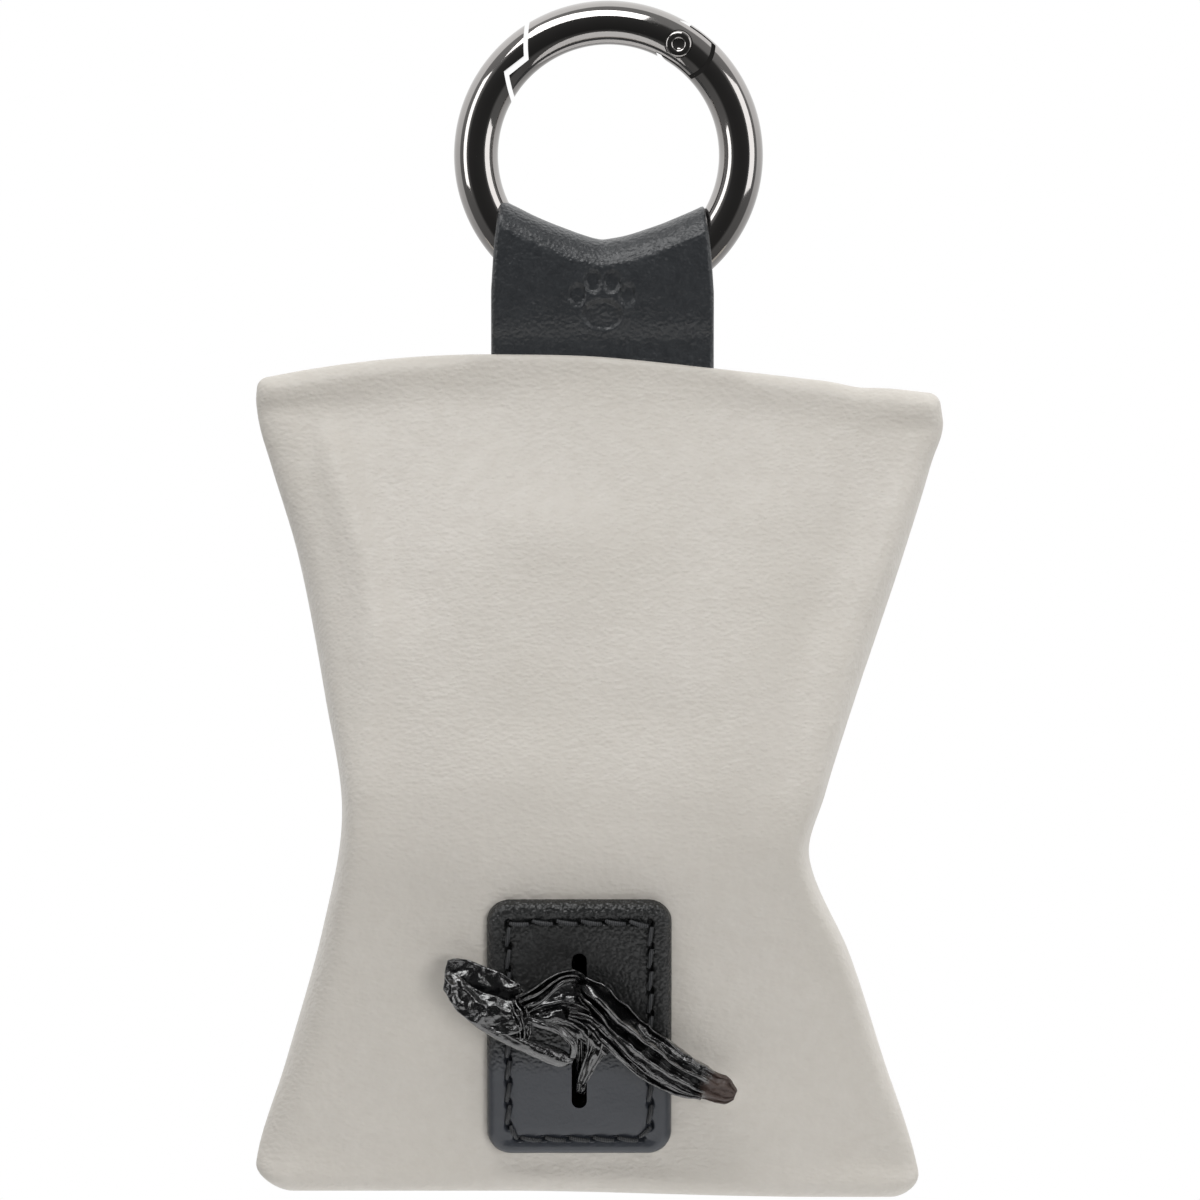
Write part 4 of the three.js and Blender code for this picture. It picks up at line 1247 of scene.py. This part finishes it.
def make_tuft(film):
    body = Body()
    # the tail, pleated along its length, from the slit over its upper end and down to its open tip
    film_strip(body, [
        (-3.6, -107.2, -1.5, 0.5, 0.3, 0.6), (-3.3, -106.4, 2.4, 1.4, 0.6, 1.2),
        (-1.6, -107.4, 4.9, 2.4, 0.85, 1.5), (2.4, -111.6, 5.6, 3.0, 0.85, 1.5),
        (6.4, -114.9, 5.2, 3.0, 0.7, 1.4), (10.0, -117.0, 4.6, 2.5, 0.45, 1.3),
        (12.4, -118.0, 4.2, 2.1, 0.25, 1.2), (13.4, -118.5, 3.9, 1.6, 0.15, 1.0),
        (14.2, -118.8, 3.7, 0.6, 0.1, 0.8),
    ], pleats=1.6, seed=1.0, crumple=0.42)
    # a narrower layer that lies over the tail's lower half
    film_strip(body, [
        (-4.4, -109.4, 4.4, 0.8, 0.3, 1.2), (-2.2, -110.2, 5.6, 1.2, 0.5, 1.5),
        (0.6, -112.8, 6.4, 1.4, 0.55, 1.6), (3.6, -115.6, 6.0, 1.3, 0.5, 1.5),
        (7.4, -117.9, 5.2, 0.9, 0.3, 1.3), (10.4, -119.0, 4.4, 0.3, 0.1, 1.0),
    ], pleats=0.9, seed=3.0, crumple=0.22)
    # the wing: a trough whose mouth faces up and to the left
    film_trough(body, [
        ((-9.0, -108.3, 4.7), (-9.2, -111.2, 6.3), (-9.3, -106.9, 3.2)),
        ((-11.4, -107.9, 4.6), (-11.6, -111.8, 6.5), (-11.4, -105.2, 2.4)),
        ((-14.4, -106.8, 4.4), (-14.8, -110.6, 6.3), (-14.4, -103.9, 2.0)),
        ((-17.0, -105.1, 3.9), (-17.4, -108.6, 5.7), (-16.8, -103.3, 2.0)),
        ((-18.2, -103.9, 3.8), (-18.6, -106.7, 5.0), (-18.1, -103.4, 2.6)),
    ], seed=7.0, crumple=0.4)
    # the smooth flap below it, which ends in a round lobe at the middle
    film_strip(body, [
        (-17.7, -107.6, 4.8, 0.4, 0.0, 1.2), (-15.2, -109.7, 5.4, 0.95, 0.05, 1.3),
        (-12.0, -111.7, 6.1, 1.15, 0.08, 1.4), (-8.6, -113.2, 6.6, 1.25, 0.1, 1.4),
        (-5.6, -114.4, 6.5, 1.5, 0.08, 1.5), (-4.0, -114.6, 5.9, 0.5, 0.0, 1.4),
    ], pleats=0.25, seed=12.0, crumple=0.08)
    # its upper edge, which turns round the lobe and back to the pinch
    film_strip(body, [
        (-9.0, -110.0, 6.4, 0.6, 0.05, 1.3), (-7.4, -110.6, 7.0, 0.65, 0.1, 1.5),
        (-5.4, -111.3, 7.0, 0.75, 0.1, 1.6), (-4.0, -112.9, 6.8, 0.75, 0.1, 1.6),
        (-4.1, -114.4, 6.2, 0.5, 0.05, 1.5),
    ], pleats=0.3, seed=15.0, crumple=0.1)
    # the pinch, with gathers that run across it
    film_strip(body, [
        (-10.6, -107.9, 5.2, 0.9, 0.4, 1.0), (-10.0, -109.2, 6.2, 1.2, 0.55, 1.4),
        (-9.5, -110.8, 6.6, 1.2, 0.55, 1.4), (-9.6, -112.3, 6.0, 0.8, 0.35, 1.0),
    ], pleats=1.9, seed=17.0, crumple=0.34)
    # the gathers that cross from the pinch to the top of the slit
    film_strip(body, [
        (-9.9, -108.4, 5.4, 1.3, 0.5, 1.0), (-8.2, -107.4, 6.6, 1.4, 0.6, 1.3),
        (-6.2, -105.9, 6.8, 1.2, 0.6, 1.5), (-4.4, -105.2, 6.0, 1.1, 0.5, 1.4),
        (-3.2, -105.6, 4.0, 0.9, 0.35, 1.1), (-3.3, -106.6, 0.0, 0.5, 0.2, 0.5),
    ], pleats=1.5, seed=18.0, crumple=0.3)
    # the sunk middle, between the gathers and the tail
    film_strip(body, [
        (-9.0, -109.4, 3.4, 1.5, 0.25, 0.3), (-6.6, -108.4, 3.1, 2.5, 0.35, 0.3),
        (-4.2, -108.6, 2.9, 3.0, 0.4, 0.3), (-1.8, -110.6, 3.0, 2.5, 0.35, 0.3),
        (0.4, -113.6, 3.3, 1.2, 0.25, 0.3),
    ], pleats=1.3, seed=24.0, crumple=0.3)
    # the neck, from the leader's end and through the slit, and its lower end
    film_strip(body, [
        (-3.3, -105.1, -7.2, 0.9, 0.5, 0.4), (-3.3, -106.6, -3.4, 0.6, 0.5, 0.4),
        (-3.3, -109.8, 1.4, 0.5, 0.6, 0.5), (-3.1, -113.6, 1.2, 0.55, 0.6, 0.5),
        (-3.3, -117.6, -1.2, 0.4, 0.5, 0.4),
    ], pleats=1.0, seed=31.0, crumple=0.1)
    film_strip(body, [
        (-1.2, -111.0, 3.8, 1.6, 0.3, 1.0), (-1.4, -113.4, 3.6, 1.4, 0.4, 1.2),
        (-2.2, -115.3, 3.0, 1.0, 0.35, 1.2), (-2.9, -117.0, 2.2, 0.7, 0.25, 0.8),
        (-3.2, -118.6, 0.8, 0.5, 0.15, 0.5),
    ], pleats=0.9, seed=36.0, crumple=0.2)
    tuft = finish(body.object(), "bag_end", film, "tail", "bag_tail", "bag_film", 0)


def make_leader(film):
    """The flat film from the roll to the slit. It gathers as it nears the slit."""
    body = Body()
    rows = []
    start_y, start_z, run_y, run_z, start_half, gathered = -12.6, -97.2, 7.4, -8.2, 4.6, 0.86
    for t in np.linspace(0, 1, 40):
        y = start_y + run_y * t ** 1.3
        z = start_z + run_z * t
        half = start_half * (1 - gathered * smoothstep(t, 0.25, 0.9))
        deep = 0.15 + 0.75 * t
        row = []
        for v in np.linspace(-1, 1, 48):
            fold = deep * math.sin(v * 4.5 * math.pi) * 0.6
            row.append(Vector((PATCH_X + v * half, y + fold * 0.8, z + fold * 0.6)))
        rows.append(row)
    add_film(body, rows)
    leader = add_piece(body.object(), "bag_film_run", film, 0)
    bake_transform(leader)
    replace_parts(leader, "bag_leader")


def make_roll(film, board):
    """The wound bags, with the edges of their layers showing at the ends, on a board tube."""
    half = ROLL_LENGTH / 2
    inner = CORE_RADIUS + 0.3
    layers = 16
    step = (ROLL_RADIUS - inner) / layers
    end = [(inner, half - 0.5)]
    for k in range(layers):
        radius = inner + k * step
        proud = 0.25 * noise.noise(Vector((k * 1.7, 0.3, 0.6)))
        for share, back in ((0.1, 0.4), (0.5, 0.12), (0.9, 0.4)):
            end.append((radius + step * share, half - back + proud))
    end.append((ROLL_RADIUS, half - 0.6))
    profile = end + [(r, -y) for r, y in reversed(end)]
    turn = Matrix.Translation(ROLL) @ Matrix.Rotation(-math.pi / 2, 4, "Z")
    bags = moved(solid(lathe(profile, 96)), turn)
    finish(bags, "bags", film, "roll", "bag_roll", "bag_film", 60)
    bore, rim = CORE_RADIUS - 1.2, 0.15
    tube_profile = [(bore, -half + rim), (bore + rim, -half)]
    tube_profile += [(CORE_RADIUS - rim, -half), (CORE_RADIUS, -half + rim)]
    tube_profile += [(r, -y) for r, y in reversed(tube_profile)]
    core = moved(solid(lathe(tube_profile, 72)), turn)
    finish(core, "core", board, "roll", "roll_core", "roll_core")


# --- zip ----------------------------------------------------------------------------------------

def finish_zip(obj, *details):
    finish(moved(obj, back_panel()), *details)


def bevelled(obj, width, segments=3):
    modifier = obj.modifiers.new("bevel", "BEVEL")
    modifier.width = width
    modifier.segments = segments
    modifier.limit_method = "ANGLE"
    modifier.angle_limit = math.radians(40)
    return applied(obj)


def bevelled_box(x0, x1, y0, y1, z0, z1, width):
    return bevelled(solid(box_shape(x0, x1, y0, y1, z0, z1)), width)


def make_tapes(tape, coil):
    chain, reach, thick, half = 0.5, 9.3, 0.6, 28.0
    for side, place in ((1, "upper"), (-1, "lower")):
        low, high = sorted((side * chain, side * reach))
        strip = bevelled_box(-half, half, TAPE_OUT - thick, TAPE_OUT, low, high, 0.12)
        finish_zip(strip, f"tape_{place}", tape, "pouch", f"zip_tape_{place}", "zip_tape")
        pitch, wire_radius = 1.2, 0.24
        turns = int(2 * COIL_HALF / pitch)
        path = []
        for k in range(turns * 16 + 1):
            angle = 2 * math.pi * k / 16
            x = -COIL_HALF + pitch * k / 16 + (pitch / 2 if side < 0 else 0)
            out, across = 0.72 + 0.44 * math.sin(angle), 1.25 + 0.86 * math.cos(angle)
            path.append((x, TAPE_OUT + out, side * across))
        row = solid(tube(path, wire_radius, 8))
        finish_zip(row, f"coil_{place}", coil, "pouch", f"zip_coil_{place}", "zip_coil", 60)


def make_stops(metal):
    foot, half = TAPE_OUT + 0.1, 2.1
    near, far = 23.6, 25.0
    for side, place in ((1, "closed"), (-1, "open")):
        x0, x1 = sorted((side * near, side * far))
        stop = bevelled_box(x0, x1, foot, foot + 1.3, -half, half, 0.3)
        finish_zip(stop, f"stop_{place}", metal, "pouch", f"zip_{place}_stop", "zip_metal")


def make_zip_stitches(thread):
    holes = stitch_holes(WINDOW_LENGTH + 3, 2 * WINDOW_HALF + 3, 2.4, 2.6)
    run = stitch_run(holes, 0.0, 1, 0.2, 0.0, 0.16)
    finish_zip(run.object(), "zip_thread", thread, "pouch", "zip_stitching", "pouch_thread", 60)


def slider_plan(length, wide, waist):
    """A slider's plate seen from outside: broad at its front end and pinched in behind it."""
    outline = []
    for x, z in rounded_rectangle(length, 2 * wide, 1.5, 8):
        pinch = waist * smoothstep(-x, -1.0, 2.6)
        outline.append((x, z * (1 - pinch)))
    return outline


def make_slider(metal):
    plate_from, plate_to, inner_to, wide = 0.2, 1.2, TAPE_OUT - 0.9, 3.4
    plan = slider_plan(8, wide, 0.16)
    body = Body()
    parts = [
        bevelled(solid(prism(plan, plate_from, plate_to)), 0.28),
        bevelled(solid(prism(plan, inner_to - 1, inner_to)), 0.28),
        solid(box_shape(1.6, 3, inner_to - 0.4, plate_to - 0.4, -0.14, 0.14)),
    ]
    for z in (wide - 0.85, -wide + 0.15):
        flange = bevelled_box(-2.4, 2.6, TAPE_OUT + 0.3, plate_to - 0.3, z, z + 0.7, 0.12)
        parts.append(flange)
    rising = [(-1.9, -0.5), (-1.9, 1.1), (-1.55, 1.9), (-0.7, 2.2)]
    arch = rising + [(-x, y) for x, y in reversed(rising)]
    path = [(x, plate_to + y, 0) for x, y in smooth_curve(arch, 40)]
    loops = []
    for point, (a, b) in zip(path, frames_along(path)):
        flat = a if abs(a.z) > abs(b.z) else b
        thin = b if flat is a else a
        loops.append([Vector(point) + flat * 0.62 * u + thin * 0.38 * v for u, v in circle(1, 20)])
    parts.append(solid(loft(loops)))
    for part in parts:
        body.add([v.co for v in part.data.vertices], [tuple(p.vertices) for p in part.data.polygons])
        bpy.data.objects.remove(part)
    slider = new_object("slider", body.points, body.faces)
    slider = moved(slider, Matrix.Translation((SLIDER_X, 0, 0)))
    finish_zip(slider, "slider", metal, "slider", "zip_slider", "zip_metal")


def make_pull(metal):
    axis_out, thick, eye, length, half = 2.05, 0.5, 3.2, 17.0, 2.5
    leaf = arc((-length + half, 0), half, 100, 260, 24)
    leaf += arc((-eye - 2.2, 0), half, -80, -46, 8)
    leaf += [(-eye, -1.8), (0.2, -1.8), (0.2, 1.8), (-eye, 1.8)]
    leaf += arc((-eye - 2.2, 0), half, 46, 80, 8)
    plate = solid(prism(leaf, axis_out - thick, axis_out + thick))
    hole = arc((-length + 2.9, 0), 1.05, 0, 350, 36)
    window = [(-eye, -0.95), (-0.5, -0.95), (-0.5, 0.95), (-eye, 0.95)]
    boolean(plate, "DIFFERENCE", solid(prism(hole, 0, 4)), solid(prism(window, 0, 4)))
    bevelled(plate, 0.2)
    plate = moved(plate, Matrix.Translation((SLIDER_X, 0, 0)))
    finish_zip(plate, "pull", metal, "pull", "zip_pull", "zip_metal")


# --- assembly -----------------------------------------------------------------------------------

make_studio()

nickel = black_nickel()
spring_metal = bright_nickel()
black_thread = thread_look("thread", colour(34, 35, 36), colour(66, 67, 69))
pouch_thread = thread_look("pouch_thread", colour(176, 168, 158), colour(204, 197, 188))
film_look = bag_film()

make_ring(nickel)
make_gate(nickel)
make_pin(nickel)
make_plunger(spring_metal)
make_strap(black_leather())
make_pouch(pouch_leather())
make_patch(patch_leather(), black_thread)
make_tuft(film_look)
make_leader(film_look)
make_roll(film_look, cardboard())
make_tapes(woven_tape(), nylon_coil())
make_stops(spring_metal)
make_zip_stitches(pouch_thread)
make_slider(spring_metal)
make_pull(spring_metal)
